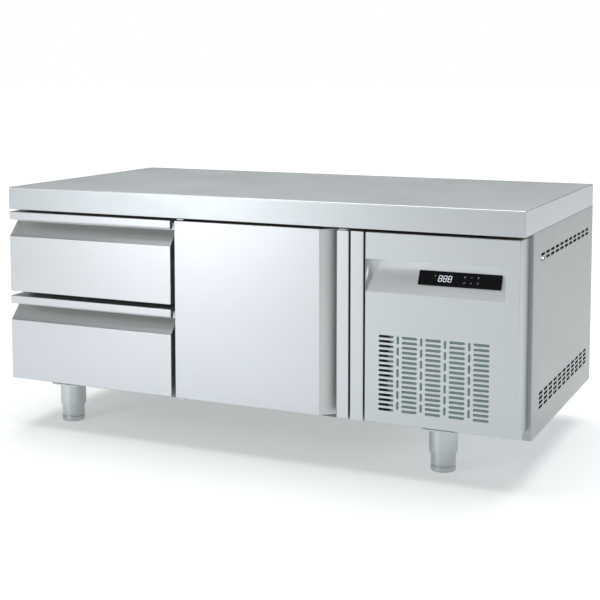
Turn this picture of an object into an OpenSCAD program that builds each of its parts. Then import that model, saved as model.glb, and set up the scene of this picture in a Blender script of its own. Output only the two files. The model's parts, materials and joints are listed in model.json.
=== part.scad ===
// Low under-counter refrigerator: two drawers, one door and a machine bay under one stainless worktop.
// Units are millimetres. The origin is on the floor, under the middle of the worktop.
// +Z is up, and the fronts face -Y.

/* [Worktop and body] */
// Overall width of the worktop
top_w = 1342; // [1300:1:1700]
// Overall depth of the worktop, and of the whole appliance
top_d = 700; // [640:1:860]
// Height of the worktop above the floor
overall_h = 620; // [600:1:760]
// Height of the worktop's front edge
top_t = 57; // [40:1:80]
// Height of the body's underside above the floor
leg_h = 102; // [95:1:160]
// Thickness of the outer stainless sheets
sheet = 1.2; // [0.8:0.1:2]
// Thickness of the insulation in the floor, the left wall and the back wall
foam_t = 48; // [38:1:60]
// Thickness of the insulation under the worktop
ceiling_foam_t = 31; // [25:1:45]
// Thickness of the wall between the cold room and the machine bay
partition_t = 58; // [50:1:70]

/* [Fronts] */
// Thickness of the drawer fronts, the door and the service panel
front_t = 60; // [50:1:70]
// Space between a front's back and the body, filled by its gasket
gasket_space = 16; // [12:1:20]
// Gap between the worktop and the fronts
front_top_gap = 6; // [4:1:10]
// Height of the fronts' lower edge above the body's underside
front_lift = 23; // [15:1:30]
// Distance of the drawers from the left end of the worktop
left_margin = 1; // [0.5:0.5:6]
// Width of the drawer fronts
drawer_w = 473; // [440:1:560]
// Height of the upper drawer's front
upper_h = 205; // [190:1:230]
// Gap between the two drawer fronts
drawer_gap = 11.5; // [6:0.5:14]
// Gap between the drawers and the door
door_gap = 11.5; // [8:0.5:16]
// Width of the door
door_w = 452; // [420:0.5:520]
// Gap on each side of the fixed strip beside the door
strip_gap = 4; // [4:0.5:12]
// Width of the fixed strip beside the door
strip_w = 32; // [20:0.5:40]
// Distance of the service panel from the right end of the worktop
right_margin = 10; // [8:0.5:20]

/* [Handles] */
// Height of a drawer's pull lip
drawer_lip = 22; // [16:1:30]
// Width of the door's pull lip
door_lip = 31; // [18:1:32]
// Finger gap between a pull lip and the flat of the front
finger_gap = 41; // [32:1:50]
// Depth of the finger channel
channel_d = 32; // [24:1:40]
// Thickness of the pull lip
lip_t = 12; // [8:1:16]
// Radius of the lip's inner edge
lip_r = 6; // [3:1:8]

/* [Cold room] */
// Width of the post between the drawers and the door
mullion_w = 50; // [44:1:60]
// Height of the rail between the two drawers
mid_rail_h = 56; // [50:1:64]
// Depth of the front frame
frame_d = 30; // [24:1:40]
// Depth of a drawer box, front to back
box_d = 500; // [430:1:530]
// Height of a drawer box
box_h = 110; // [80:1:120]
// Height of the shelf above the cold room's floor
shelf_rise = 150; // [80:10:220]
// Width of the evaporator housing
evap_w = 88; // [80:1:100]

/* [Machine bay] */
// Number of slot rows in the front grille
grille_rows = 16; // [8:1:17]
// Most slot columns in the front grille
grille_cols = 5; // [3:1:5]
// Width of a grille slot
slot_w = 35; // [20:1:36]
// Height of a grille slot
slot_h = 5.5; // [4:0.5:7]
// Greatest width of the control recess
recess_w = 320; // [280:1:330]
// Height of the control recess
recess_h = 74; // [60:1:90]
// Depth of the control recess at its top
recess_d = 36; // [20:1:44]
// Radius of the compressor's shell
compressor_r = 72; // [60:1:80]
// Radius of the condenser fan
fan_r = 98; // [80:1:104]

/* [Legs] */
// Radius of a leg's upper sleeve
sleeve_r = 33; // [28:1:36]
// Radius of an adjustable foot
foot_r = 29; // [22:1:30]
// Height of a foot below its sleeve
foot_h = 44; // [30:1:50]
// How far a foot screws up into its sleeve
foot_travel = 15; // [8:1:18]
// Distance of the left legs from the worktop's left end
leg_left = 111; // [80:1:160]
// Distance of the right legs from the worktop's right end
leg_right = 213; // [90:1:260]
// Distance of the front legs behind the body's front
leg_in = 36; // [34:1:80]

/* [Hidden] */
$fn = 64;
// Clearance between parts that move past each other
slide_gap = 0.4;
// Radial running clearance of a pin in its hole
pin_gap = 0.05;
// How far a cutting shape runs past what it cuts
over = 1;

// Outer box
x_left = -top_w / 2;
x_right = top_w / 2;
y_front = -top_d / 2;
y_back = top_d / 2;
z_under = overall_h - top_t;
z_body = leg_h;
y_slab = y_front + front_t;
y_body = y_slab + gasket_space;
skirt_return = 15;

// Fronts
z_front_top = z_under - front_top_gap;
z_front_bot = z_body + front_lift;
z_upper_bot = z_front_top - upper_h;
z_lower_top = z_upper_bot - drawer_gap;
x_drawer = x_left + left_margin;
x_drawer_end = x_drawer + drawer_w;
x_door = x_drawer_end + door_gap;
x_door_end = x_door + door_w;
x_strip = x_door_end + strip_gap;
x_cold_end = x_strip + strip_w;
x_panel = x_cold_end + strip_gap;
x_panel_end = x_right - right_margin;
panel_w = x_panel_end - x_panel;

// Cold room: the inside faces of its liner
x_in = x_left + 2 * sheet + foam_t;
x_in_end = x_cold_end - partition_t;
y_in = y_body + frame_d;
y_in_end = y_back - 2 * sheet - foam_t;
z_in = z_body + 2 * sheet + foam_t;
z_in_end = z_under - ceiling_foam_t - sheet;
tube_wall = 1.5;
divider_edge = 44;
x_mullion = (x_drawer_end + x_door - mullion_w) / 2;
x_mullion_end = x_mullion + mullion_w;
z_mid = (z_upper_bot + z_lower_top) / 2;
z_mid_low = z_mid - mid_rail_h / 2;
z_mid_high = z_mid + mid_rail_h / 2;
port_r = 12;

// Drawers and their slides
rail_space = 14.5;
rail_h = 46;
rail_wall = 1.5;
rail_lip = 10;
rail_step = 2.5;
rail_len = box_d - 10;
y_rail = y_in + 2;
half_outer = rail_h / 2;
half_middle = half_outer - rail_step;
half_inner = half_middle - rail_step;
inner_lip = rail_space - 2 * rail_step - 2 * rail_wall;
box_x = x_in + rail_space;
box_x_end = x_mullion - rail_space;
box_wall = 1.2;
box_lift = 18;
z_box_low = z_in + box_lift;
z_box_high = z_mid_high + box_lift;
hole_w = 60;
hole_cols = 4;

// Pulls
hook_in = 8;
bend = 4;
lip_back_r = 2;
edge_bevel = 1;

// Gaskets
seal_inset = 8;
seal_w = 11;

// Door hinge
pin_inset = 10;
hinge_x = x_door + pin_inset;
hinge_y = y_front + pin_inset + 2;
pin_r = 4;
pin_in = 16;
bush_r = 7;
bush_len = 20;
bracket_t = 3;
bracket_gap = 1.5;
bracket_half = 13;
bracket_edge = 7;

// Evaporator, against the wall beside the machine bay
evap_x = x_in_end - evap_w;
evap_clear = 16;
evap_y = y_in + evap_clear;
evap_y_end = y_in_end - evap_clear;
evap_z = z_in + evap_clear;
evap_z_end = z_in_end - evap_clear;
evap_mid_y = (evap_y + evap_y_end) / 2;
evap_mid_z = (evap_z + evap_z_end) / 2;
evap_fan_r = 76;
evap_fan_t = 14;
evap_motor_r = 24;
evap_coil_t = 34;
evap_coil_in = 16;
evap_tubes = 6;
evap_tube_in = 20;
coil_back = 4;
evap_slots = 6;
evap_slot_in = 30;
evap_slot_pitch = 14;
evap_slot_y = evap_y_end - evap_slot_in;
evap_fan_x = evap_x + sheet + 5;
motor_gap = 2;
stay_t = 4;
stay_half = 6;
coil_x = x_in_end - evap_coil_t;
coil_y = evap_y + evap_coil_in;
coil_y_end = evap_y_end - 2 * evap_coil_in;
coil_z = evap_z + evap_coil_in;
coil_z_end = evap_z_end - evap_coil_in;
port_y = (coil_y_end + evap_y_end) / 2;
tube_x = coil_x + (evap_coil_t - coil_back) / 2;
port_z = coil_z + evap_tube_in;
fin_t = 0.8;
fin_pitch = 12;

// Shelf
shelf_z = z_in + shelf_rise;
shelf_gap = 3;
shelf_x = x_mullion + sheet + shelf_gap;
shelf_x_end = evap_x - shelf_gap;
shelf_y = y_in + evap_clear;
shelf_y_end = y_in_end - evap_clear;
shelf_rod = 3.5;
shelf_wire = 1.5;
shelf_pitch = 24;
ledge_w = 16;
ledge_t = 1.5;
ledge_h = 18;

// Control recess and display
recess_in = 2;
recess_x = x_panel + recess_in;
recess_len = min(recess_w, panel_w - 2 * recess_in);
recess_top = z_front_top - 60;
recess_bot = recess_top - recess_h;
recess_angle = atan(recess_d / recess_h);
display_w = 189;
display_h = 34;
glass_t = 2;
display_rim = 2;
display_case_t = 18;
display_inset = 12;
display_x = recess_x + recess_len - display_inset - display_w;

// Front grille: rows of level slots, with a column of upright slots between them
grille_pitch_x = 55;
grille_pitch_z = 11.1;
grille_in = 34;
grille_x = x_panel + grille_in;
grille_space = panel_w - 2 * grille_in + grille_pitch_x - slot_w;
grille_count = min(grille_cols, floor(grille_space / grille_pitch_x));
grille_top = z_front_top - 230.5;
cross_w = 5;
cross_h = 18;
cross_pitch = 24.8;
cross_rows = 7;

// Tabs and returns of the sheets at the machine bay
tab_in = 40;
tab_h = 40;
side_return = 20;

// Side and rear vents
vent_w = 35;
vent_h = 6;
vent_pitch_y = 47;
vent_pitch_z = 10.5;
vent_cols = 11;
vent_y = y_body + 66;
vent_high_z = z_under - 52;
vent_high_rows = 2;
vent_low_z = z_body + 93;
vent_low_rows = 4;
rear_cols = 6;
rear_rows = 9;
rear_pitch_z = 2 * vent_pitch_z;
rear_x = x_cold_end + 46;
rear_z = z_under - 150;

// Machine bay
tray_t = 2;
tray_h = 20;
cond_in = 14;
cond_x = x_panel + cond_in;
cond_w = min(300, panel_w - 2 * cond_in);
cond_t = 44;
cond_h = 232;
cond_y = y_body + cond_in;
cond_z = z_body + tray_t + cond_in;
cond_tubes = 7;
cond_tube_in = 18;
shroud_y = cond_y + cond_t;
shroud_d = 42;
shroud_t = 3;
throat_t = 2;
fan_x = cond_x + cond_w / 2;
fan_y = shroud_y + 18;
fan_z = cond_z + cond_h / 2;
fan_t = 22;
fan_blades = 5;
fan_hub_r = 26;
fan_gap = 4;
motor_r = 38;
motor_len = 56;
shaft_r = 4;
comp_x = x_right - 140;
comp_y = 90;
comp_foot = 20;
comp_h = 180;
comp_round = 14;
comp_plate_t = 4;
comp_plate_out = 10;
comp_plate_half = 50;
grommet_r = 9;
grommet_y = 38;
terminal = [24, 44, 56];
terminal_z = 60;
suction_x = comp_x - 40;
discharge_x = comp_x + 36;
discharge_y = comp_y - 20;
stub_rise = 14;
stub_r = 7;
comp_top = z_body + tray_t + comp_foot + comp_h;
control_w = 150;
control_d = 110;
control_h = 90;
control_z = z_under - 130;
inlet_z = z_body + 70;
inlet_hole_r = 13;
inlet_flange = 4;
inlet_len = 16;
inlet_bore_r = 5;
box_lid_t = 4;
box_lid_out = 3;
control_y = 40;
inlet_x = x_right - 90;

// Pipes
pipe_r = 5;
thin_pipe_r = 4;
elbow_swell = 1.25;
elbow_facets = 24;
pipe_rise = 40;
discharge_rise = 70;
drier_r = 12;
drier_len = 110;
drier_x = x_cold_end + 34;

// Legs
x_leg_left = x_left + leg_left;
x_leg_right = x_right - leg_right;
y_leg_front = y_body + leg_in;
leg_back_in = 62;
y_leg_back = y_back - leg_back_in;
sleeve_wall = 1.6;
flange_half = 40;
flange_t = 4;
stem_r = 8;
nut_t = 8;
stem_spare = 4;

// Screws
screw_r = 4;
screw_len = 12;
screw_in = 19;
screw_end = 60;

// ---------- Shared shapes ----------

// A box given by its two opposite corners
module box(x0, y0, z0, x1, y1, z1) {
    translate([x0, y0, z0])
        cube([x1 - x0, y1 - y0, z1 - z0]);
}

// A four-sided ring in the XZ plane between y0 and y1
module ring(x0, z0, x1, z1, w, y0, y1) {
    difference() {
        box(x0, y0, z0, x1, y1, z1);
        box(x0 + w, y0 - over, z0 + w, x1 - w, y1 + over, z1 - w);
    }
}

// Points of an arc, from angle a0 to a1
function arc(cx, cy, r, a0, a1, n) =
    [for (i = [0:n]) [cx + r * cos(a0 + (a1 - a0) * i / n), cy + r * sin(a0 + (a1 - a0) * i / n)]];

// Outline of a front across its pull. The first number is the depth behind the face, and the second
// is the distance from the pull's outer edge. It has a rounded lip, a finger channel that hooks up
// behind it, and a slope to the flat.
function pull_outline(length, lip) = concat(
    [[0, length], [0, lip + finger_gap], [channel_d - bend / 2, lip + 2 * bend], [channel_d, lip + bend]],
    [[channel_d, hook_in + bend], [channel_d - bend, hook_in]],
    [[lip_t + bend, hook_in], [lip_t, hook_in + bend]],
    arc(lip_t - lip_back_r, lip - lip_back_r, lip_back_r, 0, 90, 3),
    arc(lip_r, lip - lip_r, lip_r, 90, 180, 6),
    [[0, edge_bevel], [edge_bevel, 0], [front_t, 0], [front_t, length]]
);
module pull_profile(length, lip) {
    polygon([for (p = pull_outline(length, lip)) [p[0], -p[1]]]);
}

// The inside of a front's skin
module core_profile(length, lip) {
    offset(delta = -sheet)
        pull_profile(length, lip);
}

// The inside of a front's skin, carried out through the open back
module open_profile(length, lip) {
    core_profile(length, lip);
    translate([front_t - 2 * sheet, sheet - length])
        square([2 * sheet + over, length - 2 * sheet]);
}

// Lays a profile with its depth along +Y and its length down from z, and carries it from x0 to x1
module along_x(x0, x1, z) {
    translate([x0, y_front, z])
        rotate([90, 0, 90])
            linear_extrude(x1 - x0)
                children();
}

// Lays a profile with its depth along +Y and its length left from x, and carries it from z0 to z1
module along_z(x, z0, z1) {
    translate([x, y_front, z0])
        mirror([1, 0, 0])
            rotate([0, 0, 90])
                linear_extrude(z1 - z0)
                    children();
}

// A straight tube standing on z = 0
module tube(r_out, r_in, h) {
    difference() {
        cylinder(r = r_out, h = h);
        translate([0, 0, -over])
            cylinder(r = r_in, h = h + 2 * over);
    }
}

// Round bars along X and along Y
module rod_x(x0, x1, y, z, r) {
    translate([x0, y, z])
        rotate([0, 90, 0])
            cylinder(r = r, h = x1 - x0);
}

module rod_y(y0, y1, x, z, r) {
    translate([x, y1, z])
        rotate([90, 0, 0])
            cylinder(r = r, h = y1 - y0);
}

// A pipe along a list of points, with a brazed elbow at each bend
module pipe(points, r) {
    for (i = [0:len(points) - 2]) {
        step = points[i + 1] - points[i];
        run = norm(step);
        translate(points[i])
            rotate([0, acos(step[2] / run), atan2(step[1], step[0])])
                cylinder(r = r, h = run);
    }
    for (i = [1:len(points) - 2])
        translate(points[i])
            sphere(r = r * elbow_swell, $fn = elbow_facets);
}

// ---------- Worktop and outer sheets ----------

module worktop_returns() {
    z = z_under;
    r = skirt_return;
    difference() {
        box(x_left + sheet, y_front + sheet, z, x_right - sheet, y_back - sheet, z + sheet);
        box(x_left + r, y_front + r, z - over, x_right - r, y_back - r, z + sheet + over);
    }
}

// Folded stainless top: a flat, four skirts and a return along the foot of each skirt
module worktop_skin() {
    color([0.72, 0.75, 0.76]) {
        difference() {
            box(x_left, y_front, z_under, x_right, y_back, overall_h);
            box(
                x_left + sheet, y_front + sheet, z_under - over,
                x_right - sheet, y_back - sheet, overall_h - sheet
            );
        }
        worktop_returns();
    }
}

// Board that fills the worktop
module worktop_core() {
    color([0.72, 0.58, 0.42])
        difference() {
            box(
                x_left + sheet, y_front + sheet, z_under,
                x_right - sheet, y_back - sheet, overall_h - sheet
            );
            worktop_returns();
        }
}

module left_side_panel() {
    color([0.68, 0.71, 0.72])
        box(x_left, y_body, z_body, x_left + sheet, y_back, z_under);
}

// Slots through a sheet that stands along Y, in level rows
module side_vents(rows, z) {
    for (i = [0:vent_cols - 1])
        for (j = [0:rows - 1])
            translate([x_right - sheet - over, vent_y + i * vent_pitch_y, z - vent_h - j * vent_pitch_z])
                cube([sheet + 2 * over, vent_w, vent_h]);
}

// Side of the machine bay, with two bands of vents and a return along its front edge
module right_side_panel() {
    color([0.68, 0.71, 0.72]) {
        difference() {
            box(x_right - sheet, y_body, z_body, x_right, y_back, z_under);
            side_vents(vent_high_rows, vent_high_z);
            side_vents(vent_low_rows, vent_low_z);
        }
        box(x_right - side_return, y_body, z_body, x_right - sheet, y_body + sheet, z_under);
    }
}
module rear_panel() {
    color([0.66, 0.69, 0.70])
        box(x_left + sheet, y_back - sheet, z_body, x_cold_end, y_back, z_under);
}

module machine_rear_grille() {
    color([0.66, 0.69, 0.70])
        difference() {
            box(x_cold_end, y_back - sheet, z_body, x_right - sheet, y_back, z_under);
            for (i = [0:rear_cols - 1])
                for (j = [0:rear_rows - 1])
                    translate([rear_x + i * vent_pitch_y, y_back - sheet - over, rear_z - j * rear_pitch_z])
                        cube([vent_w, sheet + 2 * over, vent_h]);
            rod_y(y_back - sheet - over, y_back + over, inlet_x, inlet_z, inlet_hole_r);
        }
}
module base_panel() {
    color([0.62, 0.65, 0.66])
        box(x_left + sheet, y_body, z_body, x_cold_end, y_back - sheet, z_body + sheet);
}

module pipe_port() {
    rod_x(x_in_end - over, x_cold_end + over, port_y, port_z, port_r);
}

// Sheet between the cold room's insulation and the machine bay
module partition_panel() {
    color([0.62, 0.65, 0.66])
        difference() {
            box(x_cold_end - sheet, y_in, z_body + sheet, x_cold_end, y_back - sheet, z_under);
            pipe_port();
        }
}

// Foam poured between the outer sheets and the liner
module insulation_foam() {
    color([0.93, 0.87, 0.66])
        difference() {
            box(x_left + sheet, y_in, z_body + sheet, x_cold_end - sheet, y_back - sheet, z_under);
            box(
                x_in - sheet, y_in - over, z_in - sheet,
                x_in_end + sheet, y_in_end + sheet, z_in_end + sheet
            );
            pipe_port();
        }
}

// ---------- Cold room ----------

module liner_floor() {
    color([0.80, 0.82, 0.83])
        box(x_in, y_in, z_in - sheet, x_in_end, y_in_end, z_in);
}

module liner_ceiling() {
    color([0.80, 0.82, 0.83])
        box(x_in, y_in, z_in_end, x_in_end, y_in_end, z_in_end + sheet);
}

// Left wall, back wall and the wall beside the machine bay
module liner_walls() {
    low = z_in - sheet;
    high = z_in_end + sheet;
    color([0.80, 0.82, 0.83]) {
        box(x_in - sheet, y_in, low, x_in, y_in_end, high);
        box(x_in - sheet, y_in_end, low, x_in_end + sheet, y_in_end + sheet, high);
        difference() {
            box(x_in_end, y_in, low, x_in_end + sheet, y_in_end, high);
            pipe_port();
        }
    }
}

// A level box-section rail of the front frame
module frame_rail(x0, x1, z0, z1) {
    w = tube_wall;
    difference() {
        box(x0, y_body, z0, x1, y_in, z1);
        box(x0 - over, y_body + w, z0 + w, x1 + over, y_in - w, z1 - w);
    }
}

// An upright box-section post of the front frame
module frame_post(x0, x1) {
    w = tube_wall;
    difference() {
        box(x0, y_body, z_in, x1, y_in, z_in_end);
        box(x0 + w, y_body + w, z_in - over, x1 - w, y_in - w, z_in_end + over);
    }
}

module frame_rails() {
    color([0.74, 0.76, 0.77]) {
        frame_rail(x_left + sheet, x_cold_end, z_body + sheet, z_in);
        frame_rail(x_left + sheet, x_cold_end, z_in_end, z_under);
        frame_rail(x_in, x_mullion, z_mid_low, z_mid_high);
    }
}

module frame_uprights() {
    color([0.74, 0.76, 0.77]) {
        frame_post(x_left + sheet, x_in);
        frame_post(x_mullion, x_mullion_end);
        frame_post(x_in_end, x_cold_end);
    }
}

// Sheet between the drawers and the door's bay. It carries the drawers' right rails and lets air through.
module bay_divider() {
    color([0.80, 0.82, 0.83])
        difference() {
            box(x_mullion, y_in, z_in, x_mullion + sheet, y_in_end, z_in_end);
            for (i = [0:hole_cols - 1])
                for (z = [z_in + divider_edge, z_mid_high + divider_edge / 2])
                    translate([x_mullion - over, y_in + divider_edge + i * (hole_w + divider_edge), z])
                        cube([sheet + 2 * over, hole_w, z_mid_low - z_in - rail_h - 2 * divider_edge]);
        }
}
// Fixed channel in the plane of the fronts, between the door and the service panel
module pillar_strip() {
    color([0.78, 0.80, 0.82])
        difference() {
            box(x_strip, y_front, z_front_bot, x_cold_end, y_body, z_front_top);
            box(
                x_strip + sheet, y_front + sheet, z_front_bot + sheet,
                x_cold_end - sheet, y_body + over, z_front_top - sheet
            );
        }
}

// ---------- Legs ----------

module at_legs() {
    for (x = [x_leg_left, x_leg_right])
        for (y = [y_leg_front, y_leg_back])
            translate([x, y, 0])
                children();
}

// Height of the fixed nut inside a sleeve
function nut_z() = z_body - flange_t - stem_spare - foot_travel - nut_t - stem_spare;

// Fixed upper part of a leg: a flange, a sleeve and the nut that the foot screws into
module leg_sleeve() {
    inner = sleeve_r - sleeve_wall;
    translate([0, 0, foot_h])
        tube(sleeve_r, inner, z_body - flange_t - foot_h);
    translate([-flange_half, -flange_half, z_body - flange_t])
        cube([2 * flange_half, 2 * flange_half, flange_t]);
    translate([0, 0, nut_z()])
        tube(inner, stem_r + pin_gap, nut_t);
}

module leg_sleeves() {
    color([0.66, 0.69, 0.70])
        at_legs()
            leg_sleeve();
}

// Adjustable foot: a wide pad, a barrel that slides up inside the sleeve, and a screw through the nut
module leg_foot() {
    barrel_top = nut_z() - foot_travel - stem_spare / 2;
    color([0.58, 0.61, 0.62]) {
        cylinder(r = foot_r, h = barrel_top);
        cylinder(r = stem_r, h = nut_z() + nut_t + stem_spare / 2);
    }
}

module foot_front_left() {
    translate([x_leg_left, y_leg_front, 0])
        leg_foot();
}

module foot_front_right() {
    translate([x_leg_right, y_leg_front, 0])
        leg_foot();
}

module foot_rear_left() {
    translate([x_leg_left, y_leg_back, 0])
        leg_foot();
}

module foot_rear_right() {
    translate([x_leg_right, y_leg_back, 0])
        leg_foot();
}

// ---------- Drawers ----------

// Outer skin of a drawer's front, folded round its edges and through the finger channel
module front_skin(z0, z1) {
    length = z1 - z0;
    color([0.84, 0.86, 0.89])
        difference() {
            along_x(x_drawer, x_drawer_end, z1)
                pull_profile(length, drawer_lip);
            along_x(x_drawer + sheet, x_drawer_end - sheet, z1)
                open_profile(length, drawer_lip);
        }
}

module front_foam(z0, z1) {
    color([0.93, 0.87, 0.66])
        along_x(x_drawer + sheet, x_drawer_end - sheet, z1)
            core_profile(z1 - z0, drawer_lip);
}

module inner_panel(x0, x1, z0, z1) {
    color([0.80, 0.82, 0.83])
        box(x0 + sheet, y_slab - sheet, z0 + sheet, x1 - sheet, y_slab, z1 - sheet);
}

module gasket(x0, x1, z0, z1) {
    s = seal_inset;
    color([0.20, 0.21, 0.22])
        ring(x0 + s, z0 + s, x1 - s, z1 - s, seal_w, y_slab, y_body - slide_gap);
}

// Open steel box of a drawer, with a turned-in rim
module drawer_box(z) {
    w = box_wall;
    color([0.80, 0.82, 0.83])
        difference() {
            box(box_x, y_slab, z, box_x_end, y_slab + box_d, z + box_h);
            box(box_x + w, y_slab + w, z + w, box_x_end - w, y_slab + box_d - w, z + box_h + over);
        }
}

// One level of a drawer's telescopic slide: a C section that opens towards +X, standing on its web
module slide_section(depth, half, y0, y1) {
    w = rail_wall;
    box(0, y0, -half, w, y1, half);
    box(0, y0, half - w, depth, y1, half);
    box(0, y0, -half, depth, y1, w - half);
}

// Both slides of a drawer, mirrored about the middle of its box
module both_sides(z) {
    translate([x_in, 0, z + box_h / 2])
        children();
    translate([x_mullion, 0, z + box_h / 2])
        mirror([1, 0, 0])
            children();
}

module outer_rail_pair(z) {
    both_sides(z)
        slide_section(rail_lip, half_outer, y_rail, y_rail + rail_len);
}

module drawer_outer_rails() {
    color([0.62, 0.64, 0.66]) {
        outer_rail_pair(z_box_low);
        outer_rail_pair(z_box_high);
    }
}

module middle_rails(z) {
    color([0.70, 0.72, 0.74])
        both_sides(z)
            translate([rail_step + rail_wall / 2, 0, 0])
                slide_section(rail_lip - rail_wall, half_middle, y_rail, y_rail + rail_len);
}

// The inner section opens towards the wall and its web is fixed to the box
module inner_rails(z) {
    color([0.62, 0.64, 0.66])
        both_sides(z)
            translate([rail_space, 0, 0])
                mirror([1, 0, 0])
                    slide_section(inner_lip, half_inner, y_rail, y_rail + rail_len);
}

module upper_front_skin() {
    front_skin(z_upper_bot, z_front_top);
}

module upper_front_foam() {
    front_foam(z_upper_bot, z_front_top);
}

module upper_inner_panel() {
    inner_panel(x_drawer, x_drawer_end, z_upper_bot, z_front_top);
}

module upper_gasket() {
    gasket(x_drawer, x_drawer_end, z_upper_bot, z_front_top);
}

module upper_drawer_box() {
    drawer_box(z_box_high);
}

module upper_inner_rails() {
    inner_rails(z_box_high);
}

module upper_middle_rails() {
    middle_rails(z_box_high);
}

module lower_front_skin() {
    front_skin(z_front_bot, z_lower_top);
}

module lower_front_foam() {
    front_foam(z_front_bot, z_lower_top);
}

module lower_inner_panel() {
    inner_panel(x_drawer, x_drawer_end, z_front_bot, z_lower_top);
}

module lower_gasket() {
    gasket(x_drawer, x_drawer_end, z_front_bot, z_lower_top);
}

module lower_drawer_box() {
    drawer_box(z_box_low);
}

module lower_inner_rails() {
    inner_rails(z_box_low);
}

module lower_middle_rails() {
    middle_rails(z_box_low);
}

// ---------- Door ----------

// Both bushes' outside, as solid bars, or with their bores
module bush_bars(r) {
    for (z = [z_front_bot, z_front_top - bush_len])
        translate([hinge_x, hinge_y, z])
            cylinder(r = r, h = bush_len);
}

module door_skin() {
    color([0.84, 0.86, 0.89])
        difference() {
            along_z(x_door_end, z_front_bot, z_front_top)
                pull_profile(door_w, door_lip);
            along_z(x_door_end, z_front_bot + sheet, z_front_top - sheet)
                open_profile(door_w, door_lip);
            bush_bars(bush_r);
        }
}

module door_foam() {
    color([0.93, 0.87, 0.66])
        difference() {
            along_z(x_door_end, z_front_bot + sheet, z_front_top - sheet)
                core_profile(door_w, door_lip);
            bush_bars(bush_r);
        }
}

module door_inner_panel() {
    inner_panel(x_door, x_door_end, z_front_bot, z_front_top);
}

module door_gasket() {
    gasket(x_door, x_door_end, z_front_bot, z_front_top);
}

// Plain bushes in the door's two left corners
module door_bushes() {
    color([0.85, 0.85, 0.82])
        difference() {
            bush_bars(bush_r);
            for (z = [z_front_bot - over, z_front_top - bush_len - over])
                translate([hinge_x, hinge_y, z])
                    cylinder(r = pin_r + pin_gap, h = bush_len + 2 * over);
        }
}

// A hinge bracket: an arm past the door's edge, a foot on the frame and a pin into the door
module hinge_bracket(z_arm, z_foot_low, z_foot_high, pin_low, pin_high) {
    x0 = hinge_x - bracket_edge;
    x1 = hinge_x + bracket_half;
    box(x0, hinge_y - bracket_edge, z_arm, x1, y_body, z_arm + bracket_t);
    box(x0, y_body - bracket_t, z_foot_low, x1, y_body, z_foot_high);
    translate([hinge_x, hinge_y, pin_low])
        cylinder(r = pin_r, h = pin_high - pin_low);
}

module hinge_brackets() {
    low_arm = z_front_bot - bracket_gap - bracket_t;
    high_arm = z_front_top + bracket_gap;
    color([0.62, 0.64, 0.66]) {
        hinge_bracket(low_arm, z_body + sheet, low_arm + over, low_arm, z_front_bot + pin_in);
        hinge_bracket(
            high_arm, z_front_top - seal_inset + over, high_arm + over,
            z_front_top - pin_in, high_arm + bracket_t
        );
    }
}

// ---------- Shelf ----------

module grid_shelf() {
    r = shelf_rod;
    x0 = shelf_x + r;
    x1 = shelf_x_end - r;
    y0 = shelf_y + r;
    y1 = shelf_y_end - r;
    count = floor((x1 - x0) / shelf_pitch);
    pitch = (x1 - x0) / count;
    color([0.82, 0.84, 0.86]) {
        rod_y(y0, y1, x0, shelf_z, r);
        rod_y(y0, y1, x1, shelf_z, r);
        for (y = [y0, (y0 + y1) / 2, y1])
            rod_x(x0, x1, y, shelf_z, r);
        for (x = [x0, x1])
            for (y = [y0, y1])
                translate([x, y, shelf_z])
                    sphere(r = r);
        for (i = [1:count - 1])
            rod_y(y0, y1, x0 + i * pitch, shelf_z + r - shelf_wire / 2, shelf_wire);
    }
}

// Two folded ledges that carry the shelf, one on the divider and one on the evaporator's housing
module shelf_supports() {
    x0 = x_mullion + sheet;
    z = shelf_z - shelf_rod - ledge_t;
    color([0.74, 0.76, 0.77]) {
        box(x0, shelf_y, z, x0 + ledge_w, shelf_y_end, z + ledge_t);
        box(x0, shelf_y, z - ledge_h, x0 + ledge_t, shelf_y_end, z + ledge_t / 2);
        box(evap_x - ledge_w, shelf_y, z, evap_x, shelf_y_end, z + ledge_t);
        box(evap_x - ledge_t, shelf_y, z - ledge_h, evap_x, shelf_y_end, z + ledge_t / 2);
    }
}

// ---------- Evaporator ----------

// Housing with a round air inlet, open towards the wall behind it
module evaporator_cover() {
    color([0.78, 0.80, 0.82])
        difference() {
            box(evap_x, evap_y, evap_z, x_in_end, evap_y_end, evap_z_end);
            box(
                evap_x + sheet, evap_y + sheet, evap_z + sheet,
                x_in_end + over, evap_y_end - sheet, evap_z_end - sheet
            );
            rod_x(evap_x - over, evap_x + 2 * sheet, evap_mid_y, evap_mid_z, evap_fan_r + fan_gap);
            for (i = [0:evap_slots - 1])
                translate([evap_x - over, evap_slot_y - i * evap_slot_pitch, evap_z + evap_slot_in])
                    cube([2 * sheet + over, vent_h, evap_z_end - evap_z - 2 * evap_slot_in]);
        }
}
// Finned block and its tubes
module evaporator_coil() {
    count = floor((coil_y_end - coil_y) / fin_pitch);
    rows = evap_tubes - 1;
    tube_run = coil_z_end - coil_z - 2 * evap_tube_in;
    color([0.75, 0.76, 0.78]) {
        for (i = [0:count])
            translate([coil_x, coil_y + i * (coil_y_end - coil_y - fin_t) / count, coil_z])
                cube([evap_coil_t - coil_back, fin_t, coil_z_end - coil_z]);
        for (j = [0:rows])
            rod_y(coil_y, coil_y_end, tube_x, port_z + j * tube_run / rows, pipe_r);
    }
}

// Propeller with flat pitched blades, made about its own shaft along +Z
blade_pitch = 28;
blade_t = 2;
blade_root = 3;

module propeller(r, hub_r, thick, blades, bore) {
    chord = thick * 1.8;
    difference() {
        union() {
            cylinder(r = hub_r, h = thick);
            for (i = [0:blades - 1])
                rotate([0, 0, i * 360 / blades])
                    translate([hub_r - blade_root, 0, thick / 2])
                        rotate([blade_pitch, 0, 0])
                            translate([0, -chord / 2, -blade_t / 2])
                                cube([r - hub_r, chord, blade_t]);
        }
        translate([0, 0, -over])
            cylinder(r = bore, h = thick + 2 * over);
    }
}

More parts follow.
